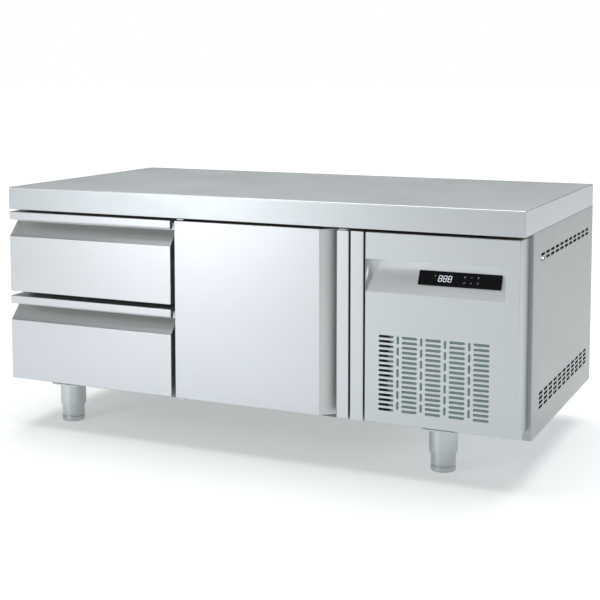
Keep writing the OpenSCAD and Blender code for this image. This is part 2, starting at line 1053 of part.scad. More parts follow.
module evaporator_fan() {
    color([0.15, 0.16, 0.17])
        translate([evap_fan_x, evap_mid_y, evap_mid_z])
            rotate([0, 90, 0])
                propeller(evap_fan_r, evap_motor_r - fan_gap, evap_fan_t, fan_blades, shaft_r + pin_gap);
}

module evaporator_motor() {
    x0 = evap_fan_x + evap_fan_t + motor_gap;
    x1 = coil_x - motor_gap;
    color([0.30, 0.31, 0.32]) {
        rod_x(x0, x1, evap_mid_y, evap_mid_z, evap_motor_r);
        rod_x(evap_fan_x, x0 + over, evap_mid_y, evap_mid_z, shaft_r);
        box(
            x1 - stay_t, evap_y + sheet, evap_mid_z - stay_half,
            x1, evap_y_end - sheet, evap_mid_z + stay_half
        );
    }
}

// ---------- Machine bay ----------

module machine_tray() {
    w = tray_t;
    y0 = y_body + 2 * sheet;
    y1 = y_back - sheet;
    x1 = x_right - sheet;
    color([0.60, 0.63, 0.64])
        difference() {
            box(x_cold_end, y0, z_body, x1, y1, z_body + tray_h);
            box(x_cold_end + w, y0 + w, z_body + w, x1 - w, y1 - w, z_body + tray_h + over);
        }
}

// The wedge of the control recess: deep along its top, flush along its bottom
module recess_profile() {
    polygon([[0, 0], [0, recess_h], [recess_d, recess_h]]);
}

module recess_wedge(grow) {
    translate([recess_x - grow, y_front, recess_bot])
        rotate([90, 0, 90])
            linear_extrude(recess_len + 2 * grow)
                offset(delta = grow)
                    recess_profile();
}

module grille_cuts() {
    deep = sheet + 2 * over;
    slot_z = grille_top - slot_h;
    for (i = [0:grille_count - 1])
        for (j = [0:grille_rows - 1])
            translate([grille_x + i * grille_pitch_x, y_front - over, slot_z - j * grille_pitch_z])
                cube([slot_w, deep, slot_h]);
    gap = grille_pitch_x - slot_w;
    for (i = [0:grille_count - 2])
        for (j = [0:cross_rows - 1])
            translate([
                grille_x + slot_w + (gap - cross_w) / 2 + i * grille_pitch_x,
                y_front - over,
                grille_top - cross_h - j * cross_pitch
            ])
                cube([cross_w, deep, cross_h]);
}

// Places a thing in the display's own frame: X to the right, Y into the recess's face, Z up its slope
module on_recess() {
    translate([display_x, y_front + recess_d / 2, (recess_top + recess_bot) / 2])
        rotate([-recess_angle, 0, 0])
            children();
}

// Lift-off front of the machine bay: a pan with a control recess, a grille and four welded tabs
module service_panel() {
    color([0.78, 0.80, 0.81])
        difference() {
            union() {
                difference() {
                    box(x_panel, y_front, z_front_bot, x_panel_end, y_slab, z_front_top);
                    box(
                        x_panel + sheet, y_front + sheet, z_front_bot + sheet,
                        x_panel_end - sheet, y_slab + over, z_front_top - sheet
                    );
                }
                intersection() {
                    recess_wedge(sheet);
                    box(x_panel, y_front, z_front_bot, x_panel_end, y_slab, z_front_top);
                }
                for (x = [x_panel, x_panel_end - sheet])
                    for (z = [z_front_bot + tab_in, z_front_top - tab_in - tab_h])
                        box(x, y_slab - over, z, x + sheet, y_body, z + tab_h);
            }
            recess_wedge(0);
            grille_cuts();
            on_recess()
                translate([display_rim, -display_case_t / 2, display_rim - display_h / 2])
                    cube([display_w - 2 * display_rim, display_case_t, display_h - 2 * display_rim]);
        }
}
// Glass of the touch display on the recess's face, and the controller's case behind it
module control_display() {
    color([0.04, 0.04, 0.05])
        on_recess() {
            translate([0, -glass_t, -display_h / 2])
                cube([display_w, glass_t, display_h]);
            translate([display_rim, 0, display_rim - display_h / 2])
                cube([display_w - 2 * display_rim, display_case_t, display_h - 2 * display_rim]);
        }
}

// Finned condenser block behind the grille
module condenser_coil() {
    count = floor(cond_w / fin_pitch);
    rows = cond_tubes - 1;
    tube_run = cond_h - 2 * cond_tube_in;
    tube_y = cond_y + (cond_t - fan_gap) / 2;
    color([0.35, 0.36, 0.38]) {
        for (i = [0:count])
            translate([cond_x + i * (cond_w - fin_t) / count, cond_y, cond_z])
                cube([fin_t, cond_t - fan_gap, cond_h]);
        for (j = [0:rows])
            rod_x(cond_x, cond_x + cond_w, tube_y, cond_z + cond_tube_in + j * tube_run / rows, pipe_r);
    }
}

// Shroud round the condenser's fan: a plate with a round throat, and legs down to the tray
module fan_shroud() {
    throat = fan_r + fan_gap;
    color([0.55, 0.58, 0.60])
        difference() {
            union() {
                box(
                    cond_x, shroud_y, z_body + tray_t,
                    cond_x + cond_w, shroud_y + shroud_t, cond_z + cond_h
                );
                rod_y(shroud_y, shroud_y + shroud_d, fan_x, fan_z, throat + throat_t);
            }
            rod_y(shroud_y - over, shroud_y + shroud_d + over, fan_x, fan_z, throat);
        }
}

module condenser_fan() {
    color([0.20, 0.21, 0.22])
        translate([fan_x, fan_y + fan_t, fan_z])
            rotate([90, 0, 0])
                propeller(fan_r, fan_hub_r, fan_t, fan_blades, shaft_r + pin_gap);
}

// Motor, its shaft and its bracket
module fan_motor() {
    y0 = fan_y + fan_t + fan_gap;
    y1 = y0 + motor_len;
    color([0.28, 0.29, 0.30]) {
        rod_y(y0, y1, fan_x, fan_z, motor_r);
        rod_y(fan_y, y0 + over, fan_x, fan_z, shaft_r);
        box(
            fan_x - 2 * stay_half, y1 - stay_t, z_body + tray_t,
            fan_x + 2 * stay_half, y1 + stay_t, fan_z
        );
    }
}

// Hermetic compressor: a domed shell on a base plate with four rubber feet
module compressor() {
    r = compressor_r;
    k = comp_round;
    dome = r * 0.45;
    z0 = z_body + tray_t;
    color([0.10, 0.10, 0.11]) {
        translate([comp_x, comp_y, z0 + comp_foot])
            rotate_extrude()
                polygon(concat(
                    [[0, 0], [r - k, 0]],
                    [for (i = [0:6]) [r - k + k * sin(i * 15), k - k * cos(i * 15)]],
                    [for (i = [0:8]) [r * cos(i * 11.25), comp_h - dome + dome * sin(i * 11.25)]]
                ));
        translate([comp_x - r - comp_plate_out, comp_y - comp_plate_half, z0 + comp_foot - comp_plate_t])
            cube([2 * (r + comp_plate_out), 2 * comp_plate_half, comp_plate_t]);
        for (x = [-r, r])
            for (y = [-grommet_y, grommet_y])
                translate([comp_x + x, comp_y + y, z0])
                    cylinder(r = grommet_r, h = comp_foot - comp_plate_t / 2);
        translate([comp_x + r - comp_plate_t, comp_y - terminal[1] / 2, z0 + terminal_z])
            cube(terminal);
        for (p = [[suction_x, comp_y], [discharge_x, discharge_y]])
            translate([p[0], p[1], comp_top - dome])
                cylinder(r = stub_r, h = dome + stub_rise);
    }
}

// Suction line, discharge line and the liquid line with its filter drier
module refrigerant_pipes() {
    suction_z = comp_top + pipe_rise;
    discharge_z = comp_top + discharge_rise;
    low_z = cond_z + cond_tube_in;
    far_y = fan_y + 2 * cond_tube_in + drier_len;
    color([0.72, 0.45, 0.28]) {
        pipe([
            [tube_x, coil_y_end, port_z],
            [tube_x, port_y, port_z],
            [drier_x + 2 * drier_r, port_y, port_z],
            [drier_x + 2 * drier_r, port_y, suction_z],
            [suction_x, port_y, suction_z],
            [suction_x, comp_y, suction_z],
            [suction_x, comp_y, comp_top + stub_rise]
        ], pipe_r);
        pipe([
            [discharge_x, discharge_y, comp_top + stub_rise],
            [discharge_x, discharge_y, discharge_z],
            [discharge_x, far_y, discharge_z],
            [cond_x + cond_tube_in, far_y, discharge_z],
            [cond_x + cond_tube_in, cond_y + cond_t / 2, discharge_z],
            [cond_x + cond_tube_in, cond_y + cond_t / 2, cond_z + cond_h]
        ], thin_pipe_r);
        pipe([
            [cond_x + cond_tube_in / 2, shroud_y + shroud_t, low_z],
            [cond_x + cond_tube_in / 2, shroud_y + shroud_d, low_z],
            [drier_x, shroud_y + shroud_d, low_z],
            [drier_x, port_y - drier_len / 4, low_z]
        ], thin_pipe_r);
        rod_y(shroud_y + 2 * shroud_d, shroud_y + 2 * shroud_d + drier_len, drier_x, low_z, drier_r);
    }
}

// Box with the relays and the controller's power board, on the partition
module electrical_box() {
    x1 = x_cold_end + control_h;
    y1 = control_y + control_w;
    z1 = control_z + control_d;
    out = box_lid_out;
    color([0.88, 0.88, 0.86]) {
        box(x_cold_end, control_y, control_z, x1, y1, z1);
        box(x1, control_y - out, control_z - out, x1 + box_lid_t, y1 + out, z1 + out);
    }
}

// Cable gland in the rear grille
module power_inlet() {
    y0 = y_back - inlet_len;
    color([0.10, 0.10, 0.11])
        difference() {
            union() {
                rod_y(y0, y_back - sheet, inlet_x, inlet_z, inlet_hole_r + inlet_flange);
                rod_y(y0, y_back, inlet_x, inlet_z, inlet_hole_r - pin_gap);
            }
            rod_y(y0 - over, y_back + over, inlet_x, inlet_z, inlet_bore_r);
        }
}

// Screws behind the edges of the rear grille
module panel_screws() {
    y1 = y_back - sheet;
    color([0.55, 0.57, 0.58])
        for (x = [x_cold_end + screw_in, x_right - screw_in])
            for (z = [z_body + screw_end, (z_body + z_under) / 2, z_under - screw_end])
                rod_y(y1 - screw_len, y1, x, z, screw_r);
}

worktop_skin();
worktop_core();
left_side_panel();
right_side_panel();
rear_panel();
machine_rear_grille();
base_panel();
partition_panel();
insulation_foam();
liner_floor();
liner_ceiling();
liner_walls();
frame_rails();
frame_uprights();
bay_divider();
pillar_strip();
leg_sleeves();
foot_front_left();
foot_front_right();
foot_rear_left();
foot_rear_right();
upper_front_skin();
upper_front_foam();
upper_inner_panel();
upper_gasket();
upper_drawer_box();
upper_inner_rails();
upper_middle_rails();
lower_front_skin();
lower_front_foam();
lower_inner_panel();
lower_gasket();
lower_drawer_box();
lower_inner_rails();
lower_middle_rails();
drawer_outer_rails();
door_skin();
door_foam();
door_inner_panel();
door_gasket();
door_bushes();
hinge_brackets();
grid_shelf();
shelf_supports();
evaporator_cover();
evaporator_coil();
evaporator_fan();
evaporator_motor();
machine_tray();
service_panel();
control_display();
condenser_coil();
fan_shroud();
condenser_fan();
fan_motor();
compressor();
refrigerant_pipes();
electrical_box();
power_inlet();
panel_screws();
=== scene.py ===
# %% [markdown]
# # A low refrigerated counter
# The counter is a stainless box on four round legs. Under one flat worktop it has two drawers, one door, a fixed strip
# and a machine bay. The CAD model holds the true sizes and the joints. This lesson gives each node its looks: thin
# sheet with soft folds, punched vents, rolled rims, wires, fins and a brushed finish.

import json
import math

import bmesh
import bpy
import numpy as np
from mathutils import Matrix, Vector
from mathutils.geometry import delaunay_2d_cdt


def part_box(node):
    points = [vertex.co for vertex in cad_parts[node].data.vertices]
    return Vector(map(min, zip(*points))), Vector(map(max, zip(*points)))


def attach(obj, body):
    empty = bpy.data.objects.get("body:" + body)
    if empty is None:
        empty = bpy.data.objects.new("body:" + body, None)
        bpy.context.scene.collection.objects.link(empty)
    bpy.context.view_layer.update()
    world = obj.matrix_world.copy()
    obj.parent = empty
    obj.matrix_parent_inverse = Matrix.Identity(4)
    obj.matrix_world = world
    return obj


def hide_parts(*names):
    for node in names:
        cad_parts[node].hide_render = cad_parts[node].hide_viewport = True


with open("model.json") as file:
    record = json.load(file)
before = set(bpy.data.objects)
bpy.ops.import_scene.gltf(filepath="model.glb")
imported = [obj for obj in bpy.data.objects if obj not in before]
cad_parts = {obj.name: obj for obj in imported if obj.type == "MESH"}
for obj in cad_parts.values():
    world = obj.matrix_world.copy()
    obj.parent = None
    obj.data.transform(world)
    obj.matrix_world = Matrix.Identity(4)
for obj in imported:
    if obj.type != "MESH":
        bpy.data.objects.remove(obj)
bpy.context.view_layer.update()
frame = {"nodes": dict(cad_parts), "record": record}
MM = 0.001

# %% [markdown]
# ## Outlines
# Sheet metal never has a sharp corner: each fold is a small arc. So the first helper takes the corners of an outline
# and puts an arc in each. Working on whole arrays keeps it short, and it works in two or three dimensions, so the same
# helper rounds a folded profile and bends a pipe.

# %% Rounded outlines
def rounded(corners, radii, steps=4, closed=True):
    """Puts an arc in every corner. With a and b the unit directions to the two neighbours and w the angle between
    them, the arc touches both sides at r / tan(w/2) from the corner, its centre is r / sin(w/2) along a + b, and its
    points turn evenly from one touching point to the other."""
    p = np.asarray(corners, float)
    r = np.broadcast_to(np.asarray(radii, float), (len(p),)).copy()
    inner = p if closed else p[1:-1]
    before = np.roll(p, 1, axis=0) if closed else p[:-2]
    after = np.roll(p, -1, axis=0) if closed else p[2:]
    r = (r if closed else r[1:-1])[:, None]
    a, b = before - inner, after - inner
    a /= np.linalg.norm(a, axis=1, keepdims=True)
    b /= np.linalg.norm(b, axis=1, keepdims=True)
    w = np.arccos(np.clip((a * b).sum(1, keepdims=True), -1, 1))
    toward = (a + b) / np.linalg.norm(a + b, axis=1, keepdims=True)
    centre = inner + toward * r / np.sin(w / 2)
    v0, v1 = inner + a * r / np.tan(w / 2) - centre, inner + b * r / np.tan(w / 2) - centre
    turn = (np.pi - w)[:, None]
    s = np.linspace(0, 1, steps + 1)[None, :, None]
    arcs = (np.sin((1 - s) * turn) * v0[:, None] + np.sin(s * turn) * v1[:, None]) / np.sin(turn)
    points = (centre[:, None] + arcs).reshape(-1, p.shape[1])
    return points if closed else np.vstack([p[:1], points, p[-1:]])


def offset(outline, distance):
    """Moves a closed outline inwards along the bisector of each corner, by distance / cos(half the turn)."""
    p = np.asarray(outline, float)
    e = np.roll(p, -1, axis=0) - p
    e /= np.linalg.norm(e, axis=1, keepdims=True) + 1e-12
    n = np.stack([-e[:, 1], e[:, 0]], 1)
    m = n + np.roll(n, 1, axis=0)
    m /= (m * m).sum(1, keepdims=True) / 2
    area = 0.5 * np.sum(p[:, 0] * np.roll(p[:, 1], -1) - np.roll(p[:, 0], -1) * p[:, 1])
    return p + np.sign(area) * distance * m


print("a square of side 10 with 2 mm corners has", len(rounded([[0, 0], [10, 0], [10, 10], [0, 10]], 2)), "points")

# %% [markdown]
# ## From grids to pieces
# Every shape below is a grid of points: rows along one parameter and columns along the other. A grid needs only one
# face list, so one helper makes it for all of them. Another turns the arrays into an object, merges doubled seams,
# points the faces outwards, and shades curved faces smooth and folds crisp.

# %% Grids and meshes
def grid_faces(rows, cols, start=0, around=True, ring=False):
    """Quads between neighbouring rows and columns. around joins the last column to the first, ring the last row."""
    r = np.arange(rows if ring else rows - 1)[:, None]
    c = np.arange(cols if around else cols - 1)[None, :]
    r1, c1 = (r + 1) % rows, (c + 1) % cols
    quads = np.stack([r * cols + c, r * cols + c1, r1 * cols + c1, r1 * cols + c], -1)
    return (quads.reshape(-1, 4) + start).tolist()


class Shape:
    """Points and faces gathered from several surfaces, before they become one mesh."""

    def __init__(self):
        self.points, self.faces, self.count = [], [], 0

    def add(self, points, faces):
        points = np.asarray(points, float).reshape(-1, 3)
        self.faces += [[i + self.count for i in f] for f in faces]
        self.points.append(points)
        self.count += len(points)
        return self

    def grid(self, g, around=True, ring=False, caps=(True, True)):
        """A grid of shape (rows, columns, 3). caps close its first and last row with one face each."""
        rows, cols = g.shape[:2]
        faces = grid_faces(rows, cols, 0, around, ring)
        if not ring and around:
            faces += [list(range(cols))] * bool(caps[0])
            faces += [list(range((rows - 1) * cols, rows * cols))] * bool(caps[1])
        return self.add(g, faces)


def piece(name, shape, material, stands_for=(), body="cabinet", slot=None, thick=0.0, crisp=35, facing=None):
    """Makes one object from a Shape. It sits at the origin, as the CAD nodes do, and rides on its body. It stands for
    the named nodes. The slot argument is not used. An open sheet is given the way it faces, so that its thickness
    can go inwards."""
    mesh = bpy.data.meshes.new(name)
    mesh.from_pydata(np.vstack(shape.points).tolist(), [], shape.faces)
    bm = bmesh.new()
    bm.from_mesh(mesh)
    bmesh.ops.remove_doubles(bm, verts=bm.verts, dist=2e-7)
    bmesh.ops.dissolve_degenerate(bm, edges=bm.edges, dist=1e-7)
    bmesh.ops.recalc_face_normals(bm, faces=bm.faces)
    if facing and sum((f.normal * f.calc_area() for f in bm.faces), Vector()).dot(Vector(facing)) < 0:
        bmesh.ops.reverse_faces(bm, faces=bm.faces)
    bm.to_mesh(mesh)
    bm.free()
    mesh.polygons.foreach_set("use_smooth", np.ones(len(mesh.polygons), bool))
    mesh.set_sharp_from_angle(angle=math.radians(crisp))
    obj = bpy.data.objects.new(name, mesh)
    bpy.context.scene.collection.objects.link(obj)
    mesh.materials.append(material)
    if thick:
        wall = obj.modifiers.new("wall", "SOLIDIFY")
        wall.thickness, wall.offset = thick, -1
    even = obj.modifiers.new("even shading", "WEIGHTED_NORMAL")
    even.keep_sharp = True
    if stands_for:
        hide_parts(*stands_for)
        node = next(s for s in frame["record"]["subparts"] if s["node"] == stands_for[0])
    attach(obj, body)
    return obj


print("a 3 by 4 closed grid has", len(grid_faces(3, 4)), "faces")

# %% [markdown]
# ## Four kinds of surface
# Almost everything on a counter is one of four things: a folded profile of constant section, a plate or tray with
# rounded corners, a turned part, or a wire. Each is one short function of two parameters.

# %% The four surfaces
def straight(outline, start, end, ease, place):
    """Carries a closed outline from start to end. At each end the outline moves in by ease·(1 − sin a) while the
    length grows by ease·(1 − cos a), a from 0 to 90 degrees, which rounds the end's edge."""
    a = np.linspace(0, np.pi / 2, 4)
    inset = ease * (1 - np.sin(a))
    run = ease * (1 - np.cos(a))
    rings = np.stack([offset(outline, d) for d in inset])
    rings = np.concatenate([rings, rings[::-1]])
    along = np.concatenate([start + run, end - run[::-1]])
    return place(rings, np.broadcast_to(along[:, None], rings.shape[:2]))


def plan_loop(x0, x1, y0, y1, corner, inset=0.0, steps=5):
    """A rounded rectangle moved in by inset. Corner arcs keep their centres until their radius is used up."""
    d, r = np.broadcast_arrays(np.atleast_1d(inset).astype(float), corner)
    r = np.maximum(r - np.maximum(d, 0), 2e-5)
    a = np.radians(np.linspace(0, 90, steps + 1)[None, :] + np.array([0, 90, 180, 270])[:, None]).ravel()
    right, top = np.repeat([1, 0, 0, 1], steps + 1), np.repeat([1, 1, 0, 0], steps + 1)
    d, r = d[:, None], r[:, None]
    cx = np.where(right, x1 - d - r, x0 + d + r)
    cy = np.where(top, y1 - d - r, y0 + d + r)
    return np.stack([cx + r * np.cos(a), cy + r * np.sin(a)], -1)


def dish(x0, x1, y0, y1, corner, profile, steps=5):
    """A tray: for each (inset, height) of the profile, a rounded rectangle moved in by inset at that height."""
    p = np.asarray(profile, float)
    plan = plan_loop(x0, x1, y0, y1, corner, p[:, 0], steps)
    height = np.broadcast_to(p[:, 1, None, None], (*plan.shape[:2], 1))
    return np.concatenate([plan, height], -1)


TURNED = {"z": [0, 1, 2], "x": [2, 0, 1], "y": [1, 2, 0]}


def turned(profile, centre=(0, 0, 0), axis="z", sides=48):
    """A turned part: each (radius, height) of the profile goes once round the axis."""
    p = np.asarray(profile, float)
    a = np.linspace(0, 2 * np.pi, sides, endpoint=False)
    g = np.stack([p[:, :1] * np.cos(a), p[:, :1] * np.sin(a), np.broadcast_to(p[:, 1:2], (len(p), sides))], -1)
    return g[..., TURNED[axis]] + np.asarray(centre)


def lathe(points, radii, centre, axis="z", sides=48, steps=3, closed=False):
    """A turned part drawn in millimetres, (radius, height) from its centre, with an arc in each corner."""
    return turned(rounded(points, radii, steps, closed) * MM, centre, axis, sides)


def wire(path, radius, sides=10):
    """A round wire: at each point of the path a circle square to it, on two directions made from the tangent and a
    slanted helper direction that no run of the path is parallel to."""
    p = np.asarray(path, float)
    t = np.gradient(p, axis=0)
    t /= np.linalg.norm(t, axis=1, keepdims=True)
    u = np.cross(t, np.array([0.31, 0.53, 0.79]))
    u /= np.linalg.norm(u, axis=1, keepdims=True)
    v = np.cross(t, u)
    a = np.linspace(0, 2 * np.pi, sides, endpoint=False)[None, :, None]
    return p[:, None] + radius * (np.cos(a) * u[:, None] + np.sin(a) * v[:, None])


def fold(path, thick, radius, steps=4):
    """The closed outline of a sheet folded along an open path: the path moved half the thickness to each side."""
    p = rounded(path, radius, steps, closed=False)
    t = np.gradient(p, axis=0)
    t /= np.linalg.norm(t, axis=1, keepdims=True)
    n = np.stack([-t[:, 1], t[:, 0]], 1) * thick / 2
    return np.vstack([p + n, (p - n)[::-1]])


def eased(points, r, steps=3):
    """A (inset, height) profile with its inner corners rounded by r."""
    return rounded(points, r, steps, closed=False)


print("a turned ring has", turned([[1, 0], [1, 1]]).shape, "points")

# %% [markdown]
# ## Materials as arithmetic
# A brushed finish is a sum: a base roughness, plus fine lines stretched along the grain, plus broad clouds where
# hands and cloths have been. Written as Python sums it stays readable, so one small class turns + - * into nodes.
# The steels' tints are chosen for this light, one for each face, and most are darker than real stainless steel. The
# condenser's fins glow faintly in place of the light that would reach them through the grille.

# %% The shading class
class Value:
    """One socket of a material. Arithmetic on it adds Math nodes."""

    def __init__(self, tree, socket):
        self.tree, self.socket = tree, socket

    def node(self, kind, sockets=None, out=0, **settings):
        """Adds any other node by its type, its settings, and the values or links of its sockets."""
        n = self.tree.nodes.new("ShaderNode" + kind)
        for key, value in settings.items():
            if key == "stops":
                for i, (at, colour) in enumerate(value):
                    stop = n.color_ramp.elements[i] if i < 2 else n.color_ramp.elements.new(at)
                    stop.position, stop.color = at, (*colour, 1)
            else:
                setattr(n, key, value)
        for key, value in (sockets or {}).items():
            if isinstance(value, Value):
                self.tree.links.new(value.socket, n.inputs[key])
            else:
                n.inputs[key].default_value = value
        return Value(self.tree, n.outputs[out])

    def math(self, how, a, b):
        return self.node("Math", {0: a, 1: b}, operation=how)

    def __add__(self, other):
        return self.math("ADD", self, other)

    __radd__ = __add__

    def __mul__(self, other):
        return self.math("MULTIPLY", self, other)

    __rmul__ = __mul__

    def __sub__(self, other):
        return self.math("SUBTRACT", self, other)

    def __rsub__(self, other):
        return self.math("SUBTRACT", other, self)


def material(name, build, **constants):
    """A new material. build(place) wires what changes over the surface; constants are set on the shader."""
    m = bpy.data.materials.new(name)
    m.use_nodes = True
    tree = m.node_tree
    shader = next(n for n in tree.nodes if n.type == "BSDF_PRINCIPLED")
    for key, value in constants.items():
        shader.inputs[key.replace("_", " ")].default_value = value
    place = Value(tree, None).node("TexCoord", out="Object")
    for key, value in build(place).items():
        tree.links.new(value.socket, shader.inputs[key])
    return m


def noise(place, stretch, detail=3.0, rough=0.5):
    """Noise in object space, stretched by a different scale along each axis."""
    spread = place.node("Mapping", {"Vector": place, "Scale": stretch})
    return place.node("TexNoise", {"Vector": spread, "Scale": 1.0, "Detail": detail, "Roughness": rough}, out="Fac")


def tinted(place, low, high, amount):
    """A colour between two others, each given as numbers or as a socket, by a value from 0 to 1."""
    low, high = [c if isinstance(c, Value) else (*c, 1) for c in (low, high)]
    return place.node("Mix", {"Factor": amount, 6: low, 7: high}, out=2, data_type="RGBA")


# Painted light and painted shade: a lighter tint for the folds behind a front's face, and a darker one for a worktop's
# skirt.
BEHIND_PAINTED_LIGHT, SKIRT_PAINTED_SHADE = (0.60, 0.62, 0.62), (0.47, 0.50, 0.52)


def brushed(tint, rough, grain, depth=0.05, cloud=0.08, behind=None, skirt=None):
    """Brushed sheet: fine lines along the grain and broad clouds move the roughness, the colour and a shallow bump.
    behind is the Y of a front's face. What is folded back past it gets a lighter tint, which is painted light, and a
    little more roughness. skirt is the height of a worktop's face. What is folded down below it gets a darker tint,
    which is painted shade. Real sheet is one colour all over: both tints only make up for light that this scene's two
    lamps don't give."""

    def build(place):
        fine = noise(place, [1400 if g == 0 else 14 for g in grain], 2.0)
        lines = noise(place, [380 if g == 0 else 5 for g in grain], 3.0)
        clouds = noise(place, (5.1, 5.7, 6.3), 4.0, 0.6)
        marks = noise(place, (31, 37, 29), 5.0, 0.65)
        grainy = 0.6 * fine + 0.4 * lines
        tone = 0.65 * clouds + 0.35 * grainy
        bump = place.node("Bump", {"Strength": depth, "Distance": 0.0006, "Height": grainy + 0.15 * marks})
        colour = tinted(place, [c * 0.93 for c in tint], [min(1, c * 1.06) for c in tint], tone)
        roughness = rough + 0.16 * (grainy - 0.5) + cloud * (clouds - 0.5) + 0.05 * (marks - 0.5)
        # Painted light: what is folded back behind the face is tinted lighter. It is also made a little rougher.
        if behind is not None:
            depth_y = place.node("SeparateXYZ", {"Vector": place}, out="Y")
            sockets = {"Value": depth_y, "From Min": behind + 0.5 * MM, "From Max": behind + 7 * MM}
            painted_light_and_rough_behind = place.node("MapRange", sockets, interpolation_type="SMOOTHSTEP")
            colour = tinted(place, colour, BEHIND_PAINTED_LIGHT, painted_light_and_rough_behind)
            roughness = roughness + 0.1 * painted_light_and_rough_behind
        # Painted shade: the skirt below the top face is tinted darker.
        if skirt is not None:
            up = place.node("SeparateXYZ", {"Vector": place}, out="Z")
            painted_shade_below_skirt = place.node("MapRange", {"Value": up, "From Min": skirt - 1 * MM, "From Max": skirt - 4 * MM})
            colour = tinted(place, colour, SKIRT_PAINTED_SHADE, painted_shade_below_skirt)
        return {"Base Color": colour, "Roughness": roughness, "Normal": bump}

    return build


def plain(low, high, rough, size, depth=0.1, reach=0.0004):
    """Cast, moulded or painted: colour and roughness drift with a cloud, and a fine pebble makes the bump."""

    def build(place):
        clouds = noise(place, (size / 6, size / 6, size / 6), 4.0, 0.6)
        pebble = noise(place, (size, size, size), 3.0)
        return {
            "Base Color": tinted(place, low, high, 0.6 * clouds + 0.4 * pebble),
            "Roughness": rough + 0.2 * (clouds - 0.5) + 0.12 * (pebble - 0.5),
            "Normal": place.node("Bump", {"Strength": depth, "Distance": reach, "Height": pebble}),
        }

    return build


def steel(name, *finish, **more):
    return material(name, brushed(*finish, **more), Metallic=1.0)


ALONG_X, ALONG_Z = (1, 0, 0), (0, 0, 1)
TOP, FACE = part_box("worktop_skin")[1][2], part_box("upper_front_skin")[0][1]
# Each face has its own tint, matched to this light. These steels are lit and shaded copies of one stainless steel.
top_steel = steel("top_brushed_steel", (0.64, 0.67, 0.68), 0.36, ALONG_X, skirt=TOP)
front_steel = steel("front_brushed_steel", (0.52, 0.545, 0.57), 0.34, ALONG_X, 0.03, behind=FACE)
door_steel = steel("door_brushed_steel", (0.52, 0.545, 0.57), 0.34, ALONG_Z, 0.03, behind=FACE)
panel_steel = steel("panel_brushed_steel", (0.515, 0.545, 0.555), 0.42, ALONG_X, 0.03)
# Painted light: the recess's steel is tinted much lighter than the panel's steel around it.
recess_lit_steel = steel("recess_steel_painted_light", (0.80, 0.82, 0.83), 0.42, ALONG_X, 0.03)
# The frame's plastic stands for a dark grey thermal break strip. It is also made dark to darken the gaps between the
# fronts, so it is partly a real strip and partly painted shade.
break_strip_and_gap_shade = material("thermal_break_and_gap_shade", plain((0.16, 0.165, 0.17), (0.22, 0.225, 0.23), 0.5, 900))
# Painted shade: the sides' steel is tinted darker than the fronts'.
side_shaded_steel = steel("side_steel_painted_shade", (0.355, 0.38, 0.38), 0.40, ALONG_Z)
liner_steel = steel("liner_steel", (0.70, 0.72, 0.73), 0.30, ALONG_X)
zinc_steel = material("zinc_coated_steel", plain((0.50, 0.53, 0.55), (0.66, 0.69, 0.71), 0.48, 300), Metallic=1.0)
wire_steel = material("bright_wire", plain((0.62, 0.64, 0.66), (0.74, 0.76, 0.78), 0.22, 500), Metallic=1.0)
leg_steel = steel("leg_satin_steel", (0.54, 0.57, 0.57), 0.38, ALONG_Z)
fin_metal = material("fin_aluminium", plain((0.46, 0.52, 0.52), (0.62, 0.68, 0.67), 0.45, 240), Metallic=1.0)
teal = plain((0.42, 0.50, 0.49), (0.56, 0.64, 0.62), 0.5, 240)
# The fins' teal is their coating. Their faint glow is painted light, in place of the light that would reach them
# through the grille.
teal_fins_with_painted_glow = material("coated_fins_with_painted_glow", teal, Metallic=0.4, Emission_Color=(0.55, 0.72, 0.70, 1), Emission_Strength=0.13)
copper = material("drawn_copper", plain((0.55, 0.27, 0.16), (0.72, 0.40, 0.26), 0.34, 260), Metallic=1.0)
seal_rubber = material("seal_rubber", plain((0.035, 0.038, 0.042), (0.06, 0.064, 0.07), 0.62, 900))
black_enamel = material("black_enamel", plain((0.012, 0.012, 0.014), (0.03, 0.03, 0.033), 0.34, 700), Coat_Weight=0.3)
fan_black = material("fan_plastic", plain((0.02, 0.021, 0.023), (0.045, 0.047, 0.05), 0.5, 800))
box_grey = material("grey_plastic", plain((0.46, 0.47, 0.46), (0.56, 0.57, 0.56), 0.5, 900))
white_nylon = material("white_nylon", plain((0.70, 0.70, 0.67), (0.80, 0.80, 0.77), 0.45, 900))
foam_cream = material("poured_foam", plain((0.72, 0.62, 0.36), (0.86, 0.78, 0.52), 0.9, 420, 0.6, 0.001))
board_brown = material("pressed_board", plain((0.30, 0.19, 0.10), (0.50, 0.35, 0.20), 0.85, 500, 0.5, 0.0008))
smoked = plain((0.004, 0.004, 0.005), (0.009, 0.009, 0.011), 0.16, 60, 0.02)
glass_black = material("display_glass", smoked, Specular_IOR_Level=0.15)
print(len(bpy.data.materials), "materials")

# %% [markdown]
# ## Where things are
# The CAD model already knows every position, so each piece asks it for its node's lowest and highest corner.

# %% Positions from the CAD nodes
def span(node):
    """Lowest and highest corner of a CAD node as six numbers: x0, x1, y0, y1, z0, z1."""
    low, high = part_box(node)
    return low[0], high[0], low[1], high[1], low[2], high[2]


def facing_x(front, top):
    """Lays a (depth, length down) outline in the YZ plane behind front and below top, carried along X."""
    return lambda rings, along: np.stack([along, front + rings[..., 0], top - rings[..., 1]], -1)


def facing_z(front, right):
    """Lays a (depth, length) outline in the XY plane behind front and left of right, carried along Z."""
    return lambda rings, along: np.stack([right - rings[..., 1], front + rings[..., 0], along], -1)


def along_y(rings, along):
    """Lays an (x, z) outline across Y, to be carried along it."""
    return np.stack([rings[..., 0], along, rings[..., 1]], -1)


def along_z(rings, along):
    """Lays an (x, y) outline across Z, to be carried along it."""
    return np.stack([rings[..., 0], rings[..., 1], along], -1)


